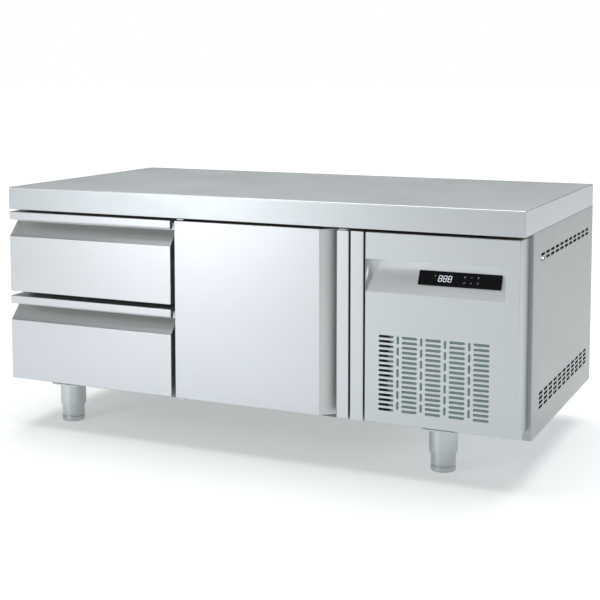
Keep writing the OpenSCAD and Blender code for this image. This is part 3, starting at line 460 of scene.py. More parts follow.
SHEET = 1.2 * MM
ORDER = {"z": [0, 1, 2], "y": [0, 2, 1], "x": [2, 0, 1]}
x0, x1, y0, y1, z0, z1 = span("worktop_skin")
print("worktop from", round(x0, 3), "to", round(x1, 3), "and", round(z0, 3), "to", round(z1, 3))

# %% [markdown]
# ## Worktop
# The top is one sheet folded down on all four sides, with a small return under each skirt. It is a tray upside
# down: a rounded rectangle in plan, and a profile that runs in from the hidden return, round the bottom fold, up the
# skirt, over the top fold and in to the middle.

# %% Worktop
shape = Shape()
profile = eased(
    [[15 * MM, z0 + SHEET], [15 * MM, z0], [0, z0], [0, z1], [40 * MM, z1]], [0, 0.5 * MM, 1.6 * MM, 2.2 * MM, 0]
)
inside = eased([[40 * MM, z1 - SHEET], [SHEET, z1 - SHEET], [SHEET, z0 + SHEET], [15 * MM, z0 + SHEET]], 1 * MM)
outer = dish(x0, x1, y0, y1, 2.5 * MM, profile)
shape.grid(outer, caps=(False, True))
shape.grid(dish(x0, x1, y0, y1, 2.5 * MM, inside), caps=(True, False))
piece("worktop", shape, top_steel, ["worktop_skin"])
print("worktop:", shape.count, "points")

# %% [markdown]
# ## Drawer fronts and door
# A front is one sheet folded round its edges. Its pull is a rounded lip with a finger channel behind it that hooks
# up, and a slope from the channel back to the flat. The door is the same profile turned upright, so one outline
# serves all three: depth behind the face, and distance from the pull's edge.

# %% The pull profile
FRONT, CHANNEL, LIP_T, HOOK, EDGE = 60 * MM, 31.5 * MM, 12 * MM, 8.2 * MM, 0.9 * MM
DRAWER_LIP, DOOR_LIP = 22 * MM, 31 * MM


def pull_outline(length, lip, gap=41 * MM):
    """Corners of the section with an arc in each: bullnose under the lip, soft bends in the channel."""
    corners = [
        [0, 0], [0, lip], [LIP_T, lip], [LIP_T, HOOK], [CHANNEL, HOOK], [CHANNEL, lip + 6 * MM],
        [0, lip + gap], [0, length], [FRONT, length], [FRONT, 0],
    ]
    radii = [1.6, 5.6, 2.2, 1.6, 4, 7, 2.4, 1.6, 1.4, 1.4]
    return rounded(np.array(corners), np.array(radii) * MM, 5)


def drawer_front(name, node):
    x0, x1, y0, y1, z0, z1 = span(node)
    outline = pull_outline(z1 - z0, DRAWER_LIP)
    body = "upper_drawer" if "upper" in node else "lower_drawer"
    shape = Shape().grid(straight(outline, x0, x1, EDGE, facing_x(y0, z1)))
    return piece(name, shape, front_steel, [node], body)


drawer_front("upper_drawer_front", "upper_front_skin")
drawer_front("lower_drawer_front", "lower_front_skin")
x0, x1, y0, y1, z0, z1 = span("door_skin")
outline = pull_outline(x1 - x0, DOOR_LIP)
shape = Shape().grid(straight(outline, z0, z1, EDGE, facing_z(y0, x1)))
piece("door_front", shape, door_steel, ["door_skin"], "door")
print("a pull section has", len(outline), "points")

# %% [markdown]
# ## Fixed strip
# Between the door and the machine bay a narrow channel closes the front. It is a plain U of sheet with its web
# forward.

# %% Fixed strip
x0, x1, y0, y1, z0, z1 = span("pillar_strip")
left, right, web = x0 + SHEET / 2, x1 - SHEET / 2, y0 + SHEET / 2
outline = fold([[left, y1], [left, web], [right, web], [right, y1]], SHEET, 2 * MM)
shape = Shape().grid(straight(outline, z0, z1, 0.3 * MM, along_z))
for z in (z0, z1 - SHEET):
    shape.grid(dish(x0 + SHEET, x1 - SHEET, y0 + SHEET, y1, 1 * MM, [[0, z], [0, z + SHEET]]))
piece("fixed_strip", shape, door_steel, ["pillar_strip"])

# %% [markdown]
# ## Punched sheets
# The service panel, the right side and the rear grille are sheets with rows of punched slots. A punch drags the
# metal, so each slot has a rounded rim that turns inwards. The flat is a triangulation held to the outline and the
# slots' rims, and every rim is a small tray profile, worked out for all slots at once.

# %% Punched sheet
def slots(columns, rows, width, height, corner):
    """Centres and sizes of slots on every crossing of the given columns and rows."""
    cx, cz = np.meshgrid(columns, rows)
    n = cx.size
    return np.stack([cx.ravel(), cz.ravel(), np.full(n, width), np.full(n, height), np.full(n, corner)], 1)


def hole_rims(holes, grow):
    """The outline of every hole, grown by each of the given distances."""
    grow = np.asarray(grow)
    rims = [plan_loop(x - w / 2, x + w / 2, z - h / 2, z + h / 2, r + grow, -grow, 3) for x, z, w, h, r in holes]
    return np.array(rims).reshape(len(holes), len(grow), 16, 2)


def flat(shape, loop, rims, lay):
    """Adds the flat inside a loop less its holes: a triangulation held to the loop and to every rim."""
    edges = [Vector(p) for p in np.vstack([loop, *rims]).tolist()]
    n, m = len(loop), rims.shape[1]
    loops = [list(range(n))] + [list(range(n + i * m, n + (i + 1) * m)) for i in range(len(rims))]
    points, _, faces, _, _, inside = delaunay_2d_cdt(edges, [], loops, 1, 1e-8)
    points = np.array([p[:] for p in points])
    return shape.add(lay(points), [list(f) for f, within in zip(faces, inside) if max(within) == 0])


def punched(loop, holes, front, inward, place, rim=0.7 * MM, deep=2.2 * MM):
    """The flat inside a loop less its holes, and a rim round each: the rim's ring k is the hole grown by
    rim·(1 − sin a) at the depth rim·(1 − cos a), and the last ring goes straight in to deep."""
    a = np.linspace(0, np.pi / 2, 4)
    rims = hole_rims(holes, np.append(rim * (1 - np.sin(a)), 0))
    depth = np.append(rim * (1 - np.cos(a)), deep)
    lay = lambda p, d=0.0: place(p, np.broadcast_to(front + inward * d, p.shape[:-1]))
    shape = flat(Shape(), loop, rims[:, 0], lay)
    for ring in rims:
        shape.grid(lay(ring, depth[:, None]), caps=(False, False))
    return shape


def pan_side(front, back, turn=2 * MM):
    """(inset, depth) of a pan's side: a quarter turn off its flat, then straight to its back."""
    a = np.linspace(0, np.pi / 2, 5)
    return np.vstack([np.stack([0.9 * turn * (1 - np.sin(a)), front + turn * (1 - np.cos(a))], 1), [[0, back]]])


upright = lambda p, y: np.stack([p[..., 0], y, p[..., 1]], -1)
sideways = lambda p, x: np.stack([x, p[..., 0], p[..., 1]], -1)

# %% [markdown]
# ### Service panel
# It is a shallow pan: the punched front, a fold all round and four sides. The hole for the control recess is just a
# large slot, with the recess's own tray behind it.

# %% Service panel
x0, x1, y0, y1, z0, z1 = span("service_panel")
LONG, THIN, TALL, NARROW = 35 * MM, 5.5 * MM, 18 * MM, 5 * MM
slot_x, slot_z, step_x = x0 + 34 * MM, z1 - 230.5 * MM, 55 * MM
level_x, level_z = slot_x + LONG / 2 + step_x * np.arange(5), slot_z - THIN / 2 - 11.1 * MM * np.arange(16)
cross_x, cross_z = slot_x + LONG + 10 * MM + step_x * np.arange(4), slot_z - TALL / 2 - 24.8 * MM * np.arange(7)
level = slots(level_x, level_z, LONG, THIN, 2.2 * MM)
cross = slots(cross_x, cross_z, NARROW, TALL, 2.2 * MM)
RECESS_W, RECESS_H = 320 * MM, 74 * MM
recess = (x0 + 2 * MM, x0 + 2 * MM + RECESS_W, z1 - 60 * MM - RECESS_H, z1 - 60 * MM)
opening = [[(recess[0] + recess[1]) / 2, (recess[2] + recess[3]) / 2, RECESS_W, RECESS_H, 0.4 * MM]]
side = pan_side(y0, y1 - 1 * MM)
loop = plan_loop(x0, x1, z0, z1, 3 * MM, side[0, 0])[0]
shape = punched(loop, np.vstack([level, cross, opening]), y0, 1, upright)
shape.grid(dish(x0, x1, z0, z1, 3 * MM, side)[..., ORDER["y"]], caps=(False, False))
pan = {"thick": 1 * MM, "crisp": 10, "facing": (0, -1, 0)}
piece("service_panel_pan", shape, panel_steel, ["service_panel"], **pan)
print("service panel:", len(level), "level and", len(cross), "upright slots")

# %% [markdown]
# ### Control recess
# The recess is a wedge: a slanted face that starts flush at the bottom and runs back to a ledge at the top, closed
# by a triangle at each end. The profile goes up the slope and out along the ledge; the ends are flat.

# %% Control recess
rx0, rx1, rz0, rz1 = recess
RECESS = 36 * MM
slope = rounded([[0.4 * MM, rz0], [RECESS, rz1], [0.4 * MM, rz1]], [0, 2 * MM, 0], 5, closed=False)
slope[:, 0] += y0
ends = [np.insert(slope, 0, x, axis=1) for x in (rx0, rx1)]
g = np.stack(ends)
shape = Shape().add(g, grid_faces(2, len(slope), around=False))
for end in ends:
    shape.add(end, [list(range(len(slope)))])
pan["thick"] = 0.6 * MM
# The recess takes the lighter steel, which paints light on its slope.
piece("control_recess", shape, recess_lit_steel, slot="stainless", **pan)
print("recess slope:", round(math.degrees(math.atan2(RECESS, rz1 - rz0)), 1), "degrees")

# %% [markdown]
# ### Touch display
# A black glass lies on the slope, with a lit readout and dim touch marks just under its surface. Everything is drawn
# flat first, in millimetres along and up the slope, and one function lays it on the slant. The readout shows all its
# segments, as a display does in its start-up test.

# %% Display
tilt = math.atan2(RECESS, rz1 - rz0)
GLASS_W, GLASS_H = 189, 34
glass_x = rx1 - (12 + GLASS_W) * MM
glass_y, glass_z = y0 + RECESS / 2, (rz0 + rz1) / 2


def on_slope(p):
    """Takes (along, up, out) to the slope: up runs along it and out is its normal, which faces forwards and up."""
    u, w, h = p[..., 0], p[..., 1], p[..., 2]
    y = glass_y + w * math.sin(tilt) - h * math.cos(tilt)
    return np.stack([glass_x + u, y, glass_z + w * math.cos(tilt) + h * math.sin(tilt)], -1)


def strokes(lines, width, low, high):
    """Flat bars with pointed ends: each line from p to q is a six-sided outline, lifted from low to high."""
    shape = Shape()
    for p, q in lines:
        p, q = np.array(p, float), np.array(q, float)
        t = (q - p) / np.linalg.norm(q - p)
        n, t = np.array([-t[1], t[0]]) * width / 2, t * width / 2
        bar = np.array([p, p + n + t, q + n - t, q, q - n - t, p - n + t])
        rings = np.stack([np.column_stack([bar, np.full(6, h)]) for h in (low, high)]) * MM
        shape.grid(on_slope(rings))
    return shape


plate, case = [[0, 0], [0, 1.4], [0.2, 1.8], [0.6, 2]], [[0, -18], [0, 0]]
shape = Shape().grid(on_slope(dish(0, GLASS_W, -GLASS_H / 2, GLASS_H / 2, 2.5, plate) * MM))
shape.grid(on_slope(dish(2, GLASS_W - 2, 2 - GLASS_H / 2, GLASS_H / 2 - 2, 2, case) * MM))
piece("display_glass_plate", shape, glass_black, ["control_display"])
lean = lambda p: (p[0] + 0.12 * p[1], p[1])
bars = [((0, 0), (0, 6.6)), ((0, 0), (0, -6.6)), ((7, 0), (7, 6.6)), ((7, 0), (7, -6.6)),
        ((0, 6.6), (7, 6.6)), ((0, 0), (7, 0)), ((0, -6.6), (7, -6.6))]
lit = [(lean((p[0] + at, p[1])), lean((q[0] + at, q[1]))) for at in (47, 58, 69) for p, q in bars]
marks = [((37, 4), (40, 7)), ((37, 7), (40, 4))]
s = 2.2
for i, (cx, cy) in enumerate([(x, y) for y in (6.5, -6.5) for x in (106, 121, 136)]):
    level_bar, plumb_bar = ((cx - s, cy), (cx + s, cy)), ((cx, cy - s), (cx, cy + s))
    slant_bar, head_bar = ((cx - s, cy - s), (cx + s, cy + s)), ((cx - s, cy + s), (cx + s, cy + s))
    marks += [level_bar] + [plumb_bar] * (i % 2 == 0) + [slant_bar] * (i % 3 == 0) + [head_bar] * (i % 3 == 2)


def glowing(name, low, high, colour, strength):
    return material(name, plain(low, high, 0.3, 900, 0.02), Emission_Color=(*colour, 1), Emission_Strength=strength)


lit_white = glowing("readout_light", (0.8, 0.84, 0.9), (0.9, 0.94, 1.0), (0.75, 0.85, 1), 0.55)
dim_white = glowing("touch_mark_light", (0.2, 0.21, 0.23), (0.26, 0.27, 0.29), (0.7, 0.8, 1), 0.12)
for name, lines, width, light in (
    ("display_readout", lit, 1.15, lit_white), ("display_touch_marks", marks, 0.8, dim_white),
):
    piece(name, strokes(lines, width, 1.95, 2.06), light, slot="display_glass")
print("display tilt:", round(math.degrees(tilt), 1), "degrees,", len(lit), "lit segments")

# %% [markdown]
# ### Sides and back
# The right side breathes through two bands of slots, and its front edge is folded in behind the fronts. The left side
# and the back are the same sheet without slots, and the machine bay's rear grille has rows of its own.

# %% Side and rear sheets
def sheet_piece(name, shape, material, node, facing):
    return piece(name, shape, material, [node], thick=SHEET, crisp=10, facing=facing)


FOLD_BACK = 12 * MM


def side_sheet(name, node, holes, outward):
    """A side from behind its front fold to the back. outward is 1 for the right side and -1 for the left. The fold
    is a piece of its own: an L on the right, where the fronts leave it in sight, and a plain edge on the left."""
    x0, x1, y0, y1, z0, z1 = span(node)
    face, start = x1 if outward > 0 else x0, y0 + FOLD_BACK
    loop = plan_loop(start, y1, z0, z1, 0.2 * MM, steps=1)[0]
    sheet_piece(name, punched(loop, holes, face, -outward, sideways), side_shaded_steel, node, (outward, 0, 0))
    mid, edge = face - outward * SHEET / 2, y0 + SHEET / 2
    if outward > 0:
        outline = fold([[face - 20 * MM, edge], [mid, edge], [mid, start]], SHEET, 2 * MM)
    else:
        square = [0.5 * MM, 0.5 * MM, 1e-5, 1e-5]
        outline = rounded([[x0, y0], [x1, y0], [x1, start], [x0, start]], square)
    lip = Shape().grid(straight(outline, z0, z1, 0.3 * MM, along_z))
    piece(name + "_fold", lip, side_shaded_steel, slot="stainless")


VENT, VENT_H, VENT_R, VENT_STEP = 35 * MM, 6 * MM, 2.6 * MM, 47 * MM
x0, x1, y0, y1, z0, z1 = span("right_side_panel")
columns = y0 + 66 * MM + VENT / 2 + VENT_STEP * np.arange(11)
high_rows = z1 - 52 * MM - VENT_H / 2 - 10.5 * MM * np.arange(2)
low_rows = z0 + 93 * MM - VENT_H / 2 - 10.5 * MM * np.arange(4)
vents = slots(columns, np.append(high_rows, low_rows), VENT, VENT_H, VENT_R)
side_sheet("right_side", "right_side_panel", vents, 1)
side_sheet("left_side", "left_side_panel", np.zeros((0, 5)), -1)
print("right side:", len(vents), "slots")

# %% [markdown]
# ### Back
# The rear grille is a zinc-coated sheet with rows of slots, screwed over the machine bay. The rear panel is stiffened
# by a shallow pressed field, so it is a flat tray: an eased edge, then a small step down.

# %% Rear sheets
x0, x1, y0, y1, z0, z1 = span("machine_rear_grille")
columns = x0 + 46 * MM + VENT / 2 + VENT_STEP * np.arange(6)
vents = slots(columns, z1 - 150 * MM + VENT_H / 2 - 21 * MM * np.arange(9), VENT, VENT_H, VENT_R)
shape = punched(plan_loop(x0, x1, z0, z1, 0.5 * MM, steps=1)[0], vents, y1, -1, upright)
sheet_piece("rear_grille", shape, zinc_steel, "machine_rear_grille", (0, 1, 0))
x0, x1, y0, y1, z0, z1 = span("rear_panel")
edge = eased([[2 * MM, y0], [0, y0], [0, y1], [2 * MM, y1]], 0.4 * MM)
pressed = y1 - 0.9 * MM
emboss = eased([[0, y1], [28 * MM, y1], [31 * MM, pressed], [60 * MM, pressed]], 0.8 * MM)
shape = Shape().grid(dish(x0, x1, z0, z1, 1 * MM, np.vstack([edge, emboss[1:]]))[..., ORDER["y"]])
piece("rear_sheet", shape, zinc_steel, ["rear_panel"])
print("rear grille:", len(vents), "slots")

# %% [markdown]
# ## Legs
# Each leg is a turned sleeve under a square flange, with a narrower adjustable foot inside. A sleeve's lower edge is
# rolled in, and the foot has a groove for a wrench and a rounded sole.

# %% Legs
feet = {"front_left": "foot_fl", "front_right": "foot_fr", "rear_left": "foot_rl", "rear_right": "foot_rr"}
sleeve_low, sleeve_high = span("leg_sleeves")[4:]
FLANGE, FLANGE_T = 40 * MM, 4 * MM
under = sleeve_high - FLANGE_T
shape = Shape()
for place, body in feet.items():
    x0, x1, y0, y1, z0, z1 = span("foot_" + place)
    centre = cx, cy, _ = ((x0 + x1) / 2, (y0 + y1) / 2, 0)
    r, top = (x1 - x0) / 2, z1 / MM
    bore, skin = r + 2.2 * MM, r + 4 * MM
    sleeve = [[bore, 70 * MM], [bore, sleeve_low], [skin, sleeve_low], [skin, under], [bore, under]]
    shape.grid(turned(eased(sleeve, [0, 0.4 * MM, 1.2 * MM, 0.2 * MM, 0]), centre, sides=64), caps=(False, False))
    flange = eased([[3 * MM, under], [0, under], [0, sleeve_high], [3 * MM, sleeve_high]], 0.8 * MM)
    shape.grid(dish(cx - FLANGE, cx + FLANGE, cy - FLANGE, cy + FLANGE, 5 * MM, flange))
    nut = np.array([[8.2, 67], [r / MM + 2, 67], [r / MM + 2, 75], [8.2, 75]]) * MM
    shape.grid(turned(nut, centre, sides=64), ring=True)
    r /= MM
    sole = [[0, 0], [r, 0], [r, 12], [r - 1.4, 13.4], [r - 1.4, 16], [r, 17.4], [r, 48], [8, 50], [8, top], [0, top]]
    ease = [0, 3, 0.6, 0.6, 0.6, 0.6, 1, 1, 0.8, 0]
    foot = Shape().grid(lathe(sole, ease, centre, sides=64, steps=4)[1:-1])
    piece("foot_" + place, foot, leg_steel, ["foot_" + place], body)
piece("leg_sleeves_and_flanges", shape, leg_steel, ["leg_sleeves"])
print("legs:", ", ".join(feet))

# %% [markdown]
# ## Inside the cold bays
# The liner is one tub with soft corners, open to the front. It is drawn as the surface that the food side sees, and
# the Solidify modifier adds the sheet behind it.

# %% Solid blocks and the liner
def block(x0, x1, y0, y1, z0, z1, corner, ease, up="z"):
    """A solid plate or box: a rounded rectangle across the axis up, with both its end faces' edges rounded too."""
    x, y, z = (x0, x1), (y0, y1), (z0, z1)
    a, b, h = {"z": (x, y, z), "y": (x, z, y), "x": (y, z, x)}[up]
    profile = eased([[3 * ease, h[0]], [0, h[0]], [0, h[1]], [3 * ease, h[1]]], ease)
    return dish(*a, *b, corner, profile)[..., ORDER[up]]


x0, x1, y0, y1, z0, z1 = span("liner_walls")
tub = eased([[SHEET, y0], [SHEET, y1 - SHEET], [40 * MM, y1 - SHEET]], 10 * MM, 5)
shape = Shape().grid(dish(x0, x1, z0, z1, 7 * MM, tub)[..., ORDER["y"]], caps=(False, True))
liner = ["liner_walls", "liner_floor", "liner_ceiling"]
piece("liner_tub", shape, liner_steel, liner, thick=SHEET, facing=(0, -1, 0))
print("liner tub:", round((x1 - x0) * 1000), "by", round((z1 - z0) * 1000), "mm")

# %% [markdown]
# ### Frame, divider and ledges
# The front frame is square tube with rounded edges. The divider is a sheet with windows for the air, and the shelf
# lies on two folded angles.

# %% Frame, divider and ledges
def tubes(name, node, bars):
    shape = Shape()
    for x0, x1, y0, y1, z0, z1, up in bars:
        shape.grid(block(x0, x1, y0, y1, z0, z1, 2 * MM, 0.2 * MM, up))
    return piece(name, shape, break_strip_and_gap_shade, [node])


z_mid = (span("upper_front_skin")[4] + span("lower_front_skin")[5]) / 2
x0, x1, y0, y1, z0, z1 = span("frame_rails")
in_low, in_high = span("frame_uprights")[4:]
in_left, in_right = span("drawer_outer_rails")[:2]
tub_right = span("evaporator_cover")[1]
TUBE = 28 * MM
# The frame's tubes take the dark plastic, which darkens the gaps between the fronts: painted shade.
tubes("front_rails", "frame_rails", [
    (x0, x1, y0, y1, z0, in_low, "x"), (x0, x1, y0, y1, in_high, z1, "x"),
    (in_left, in_right, y0, y1, z_mid - TUBE, z_mid + TUBE, "x"),
])
tubes("front_posts", "frame_uprights", [
    (low, high, y0, y1, in_low, in_high, "z")
    for low, high in ((x0, in_left), (in_right, in_right + 50 * MM), (tub_right, x1))
])
x0, x1, y0, y1, z0, z1 = span("bay_divider")
window = z_mid - TUBE - z0 - 134 * MM
rows = [z0 + 44 * MM + window / 2, z_mid + 50 * MM + window / 2]
holes = slots(y0 + (74 + 104 * np.arange(4)) * MM, rows, 60 * MM, window, 6 * MM)
shape = punched(plan_loop(y0, y1, z0, z1, 0.5 * MM, steps=1)[0], holes, x1, -1, sideways, 0.5 * MM, 1.2 * MM)
sheet_piece("divider_sheet", shape, liner_steel, "bay_divider", (1, 0, 0))
x0, x1, y0, y1, z0, z1 = span("shelf_supports")
shape = Shape()
for x, s in ((x0, 1), (x1, -1)):
    web, top = x + s * 0.75 * MM, z1 - 0.75 * MM
    angle = fold([[web, z0], [web, top], [x + s * 16 * MM, top]], 1.5 * MM, 2 * MM)
    shape.grid(straight(angle, y0, y1, 0.3 * MM, along_y))
piece("shelf_ledges", shape, liner_steel, ["shelf_supports"])
print("divider windows:", len(holes))

# %% [markdown]
# ### Backs of the fronts
# Each front closes with a flat inner panel that has a pressed groove, and a rubber gasket with bellows. The gasket's
# section is drawn once, as (inset, depth), and goes round the rounded rectangle.

# %% Inner panels and gaskets
for name, body in (("upper", "upper_drawer"), ("lower", "lower_drawer"), ("door", "door")):
    x0, x1, y0, y1, z0, z1 = span(name + "_inner_panel")
    deep = y1 - 0.8 * MM
    groove = [[3 * MM, y0], [0, y0], [0, y1], [24 * MM, y1],
              [27 * MM, deep], [31 * MM, deep], [34 * MM, y1], [60 * MM, y1]]
    groove = eased(groove, np.array([0, 0.3, 0.4, 1, 1, 1, 1, 0]) * MM)
    shape = Shape().grid(dish(x0, x1, z0, z1, 2 * MM, groove)[..., ORDER["y"]])
    piece(name + "_back_panel", shape, liner_steel, [name + "_inner_panel"], body)
    x0, x1, y0, y1, z0, z1 = span(name + "_gasket")
    left = np.array([[0.6, 0], [0, 2], [1.8, 4.4], [0.4, 7], [1.8, 9.8], [0, 12.6], [1.2, 15.6]])
    left[:, 1] *= (y1 - y0) / (15.6 * MM)
    section = np.vstack([left, np.column_stack([11 - left[::-1, 0], left[::-1, 1]])]) * MM + [0, y0]
    g = dish(x0, x1, z0, z1, 5 * MM, rounded(section, 0.45 * MM, 2))[..., ORDER["y"]]
    piece(name + "_bellows_seal", Shape().grid(g, ring=True), seal_rubber, [name + "_gasket"], body)
print("gasket section:", len(section) * 3, "points")

# %% [markdown]
# ### Drawer boxes and slides
# A box is a tray whose rim is turned in and down. Each slide is three channels of rolled steel, one inside the
# other. The channel's section is folded and carried along the drawer's way out.

# %% Drawer boxes and slides
def rail(shape, x, side, depth, half, z, y0, y1, thick=1.5 * MM):
    """Adds a C section: web at x, flanges of the given depth towards side, half its height above and below z."""
    t = thick / 2
    web, tip, high, low = x + side * t, x + side * depth, z + half - t, z - half + t
    outline = fold([[tip, high], [web, high], [web, low], [tip, low]], thick, 1.6 * MM)
    return shape.grid(straight(outline, y0, y1, 0.3 * MM, along_y))


outer = Shape()
ry0, ry1 = span("drawer_outer_rails")[2:4]
for name, body, slide in (("upper", "upper_drawer", "upper_slide"), ("lower", "lower_drawer", "lower_slide")):
    x0, x1, y0, y1, z0, z1 = span(name + "_drawer_box")
    wall, rim = 1.2 * MM, 9 * MM
    lip = z1 - 5 * MM
    tray = [[40 * MM, z0], [0, z0], [0, z1], [rim, z1], [rim, lip], [rim - wall, lip], [rim - wall, z1 - wall],
            [wall, z1 - wall], [wall, z0 + wall], [40 * MM, z0 + wall]]
    tray = eased(tray, np.array([0, 5, 1.6, 1.6, 0.3, 0.3, 0.5, 0.6, 4, 0]) * MM, 4)
    shape = Shape().grid(dish(x0, x1, y0, y1, 9 * MM, tray))
    piece(name + "_drawer_tray", shape, liner_steel, [name + "_drawer_box"], body)
    z = (z0 + z1) / 2
    inner, middle = Shape(), Shape()
    for x, s in ((in_left, 1), (in_right, -1)):
        rail(outer, x, s, 10 * MM, 23 * MM, z, ry0, ry1)
        rail(middle, x + s * 3.25 * MM, s, 8.5 * MM, 20.5 * MM, z, ry0, ry1)
        rail(inner, x + s * 14.5 * MM, -s, 6.5 * MM, 18 * MM, z, ry0, ry1)
    piece(name + "_slide_inner", inner, zinc_steel, [name + "_inner_rails"], body)
    piece(name + "_slide_middle", middle, zinc_steel, [name + "_middle_rails"], slide)
piece("slide_outers", outer, zinc_steel, ["drawer_outer_rails"])
print("tray section:", len(tray), "points")

# %% [markdown]
# ### Wire shelf
# A bent rod makes the frame, one rod crosses it, and thin wires lie across both. A closed path is wrapped by a few
# points at its ends, so that its tangents agree where it meets itself.

# %% Shelf
x0, x1, y0, y1, z0, z1 = span("grid_shelf")
R, W = 3.5 * MM, 1.5 * MM
level = z0 + R
loop = rounded([[x0 + R, y0 + R], [x1 - R, y0 + R], [x1 - R, y1 - R], [x0 + R, y1 - R]], 11 * MM, 6)
loop = np.column_stack([loop, np.full(len(loop), level)])
shape = Shape().grid(wire(np.vstack([loop[-2:], loop, loop[:3]]), R)[2:-3], ring=True)
middle_y = (y0 + y1) / 2
shape.grid(wire([[x0 + R, middle_y, level], [x0 + 0.1, middle_y, level], [x1 - R, middle_y, level]], R))
count = int((x1 - x0) / (24 * MM))
for x in np.linspace(x0 + R, x1 - R, count + 1)[1:-1]:
    shape.grid(wire([[x, y0 + 1.2 * MM, z1 - W], [x, middle_y, z1 - W], [x, y1 - 1.2 * MM, z1 - W]], W, 8))
piece("wire_shelf", shape, wire_steel, ["grid_shelf"])
print("shelf wires:", count - 1)

# %% [markdown]
# ### Door hinge
# A pin stands on each bracket's arm and turns in a nylon bush in the door's corner.

# %% Hinge
x0, x1, y0, y1, z0, z1 = span("hinge_brackets")
door_low, door_high = span("door_skin")[4:]
pin_x, pin_y = x0 + 7 * MM, y0 + 7 * MM
shape = Shape()
for arm, foot_low, foot_high, low, high in (
    (door_low - 4.5 * MM, z0, door_low - 2.5 * MM, door_low - 4.5 * MM, door_low + 16 * MM),
    (door_high + 1.5 * MM, door_high - 7 * MM, door_high + 4.5 * MM, door_high - 16 * MM, door_high + 4.5 * MM),
):
    shape.grid(block(x0, x1, y0, y1, arm, arm + 3 * MM, 3 * MM, 0.4 * MM))
    shape.grid(block(x0, x1, y1 - 3 * MM, y1, foot_low, foot_high, 1 * MM, 0.4 * MM, "y"))
    pin = eased([[0, low], [4 * MM, low], [4 * MM, high], [0, high]], [0, 0.6 * MM, 0.6 * MM, 0])
    shape.grid(turned(pin[1:-1], (pin_x, pin_y, 0), sides=24))
piece("hinge_plates_and_pins", shape, zinc_steel, ["hinge_brackets"])
shape = Shape()
for low, high in ((door_low, door_low + 20 * MM), (door_high - 20 * MM, door_high)):
    bush = rounded([[4.1 * MM, low], [7 * MM, low], [7 * MM, high], [4.1 * MM, high]], 0.4 * MM, 2)
    shape.grid(turned(bush, (pin_x, pin_y, 0), sides=32), ring=True)
piece("nylon_bushes", shape, white_nylon, ["door_bushes"], "door")
print("hinge pin at", round(pin_x, 4), round(pin_y, 4))

# %% [markdown]
# ## Fans
# A blade is a stack of sections from hub to tip. Each section is a thin closed outline with a rounded nose, and it
# turns flatter and grows longer on its way out, as a real propeller's does.

# %% Fan blades
def propeller(kind, radius, hub, thick, centre, axis, blades=5):
    """Section s of a blade, from 0 at the hub to 1 at the tip: chord thick·(1.35 + 0.6 s), pitch 36 − 12 s degrees,
    camber 8 % of the chord. Its points are the mean line plus and minus half the thickness sqrt(t)·(1 − t)."""
    s = np.linspace(0, 1, 9)[:, None]
    t = (1 - np.cos(np.linspace(0, np.pi, 9)))[None, :] / 2
    chord, pitch = thick * (1.35 + 0.6 * s), np.radians(36 - 12 * s)
    mean = 0.32 * chord * t * (1 - t)
    half = 0.09 * thick * (np.sqrt(t) * (1 - t) * 2.6 + 0.12)
    u = np.concatenate([(t - 0.5) * chord, ((t - 0.5) * chord)[:, ::-1]], 1)
    w = np.concatenate([mean + half, (mean - half)[:, ::-1]], 1)
    across, along = u * np.cos(pitch) - w * np.sin(pitch), u * np.sin(pitch) + w * np.cos(pitch)
    reach = (hub - 3 * MM) + s * (radius - hub + 3 * MM - 0.5 * MM)
    reach = np.sqrt(np.maximum(reach**2 - (across * s) ** 2, (hub * 0.5) ** 2))
    shape = Shape()
    for a in np.linspace(0, 2 * np.pi, blades, endpoint=False):
        c, d = np.cos(a), np.sin(a)
        g = np.stack([reach * c - across * d, reach * d + across * c, along + thick / 2], -1)
        shape.grid(g[..., TURNED[axis]] + np.asarray(centre))
    nose = rounded([[4.2 * MM, 0], [hub, 0], [hub, thick], [4.2 * MM, thick]], [0.3 * MM, 3 * MM, 1 * MM, 0.3 * MM], 4)
    shape.grid(turned(nose, centre, axis, 48), ring=True)
    return piece(kind + "_propeller", shape, fan_black, [kind + "_fan"], kind + "_rotor")


x0, x1, y0, y1, z0, z1 = span("condenser_fan")
throat = span("fan_shroud")
fan_x, fan_z = (throat[0] + throat[1]) / 2, throat[5] - 116 * MM
propeller("condenser", 98 * MM, 26 * MM, y1 - y0, (fan_x, y0, fan_z), "y")
ex0, ex1, ey0, ey1, ez0, ez1 = span("evaporator_cover")
air_y, air_z = (ey0 + ey1) / 2, (ez0 + ez1) / 2
x0, x1, y0, y1, z0, z1 = span("evaporator_fan")
propeller("evaporator", 76 * MM, 20 * MM, x1 - x0, (x0, air_y, air_z), "x")
print("fans at", round(fan_x, 3), round(fan_z, 3), "and", round(air_y, 3), round(air_z, 3))

# %% [markdown]
# ### Evaporator
# The housing is a folded cover with a round inlet, a wire guard in it and tall outlet slots. Behind it a serpentine
# tube runs through a block of thin fins.

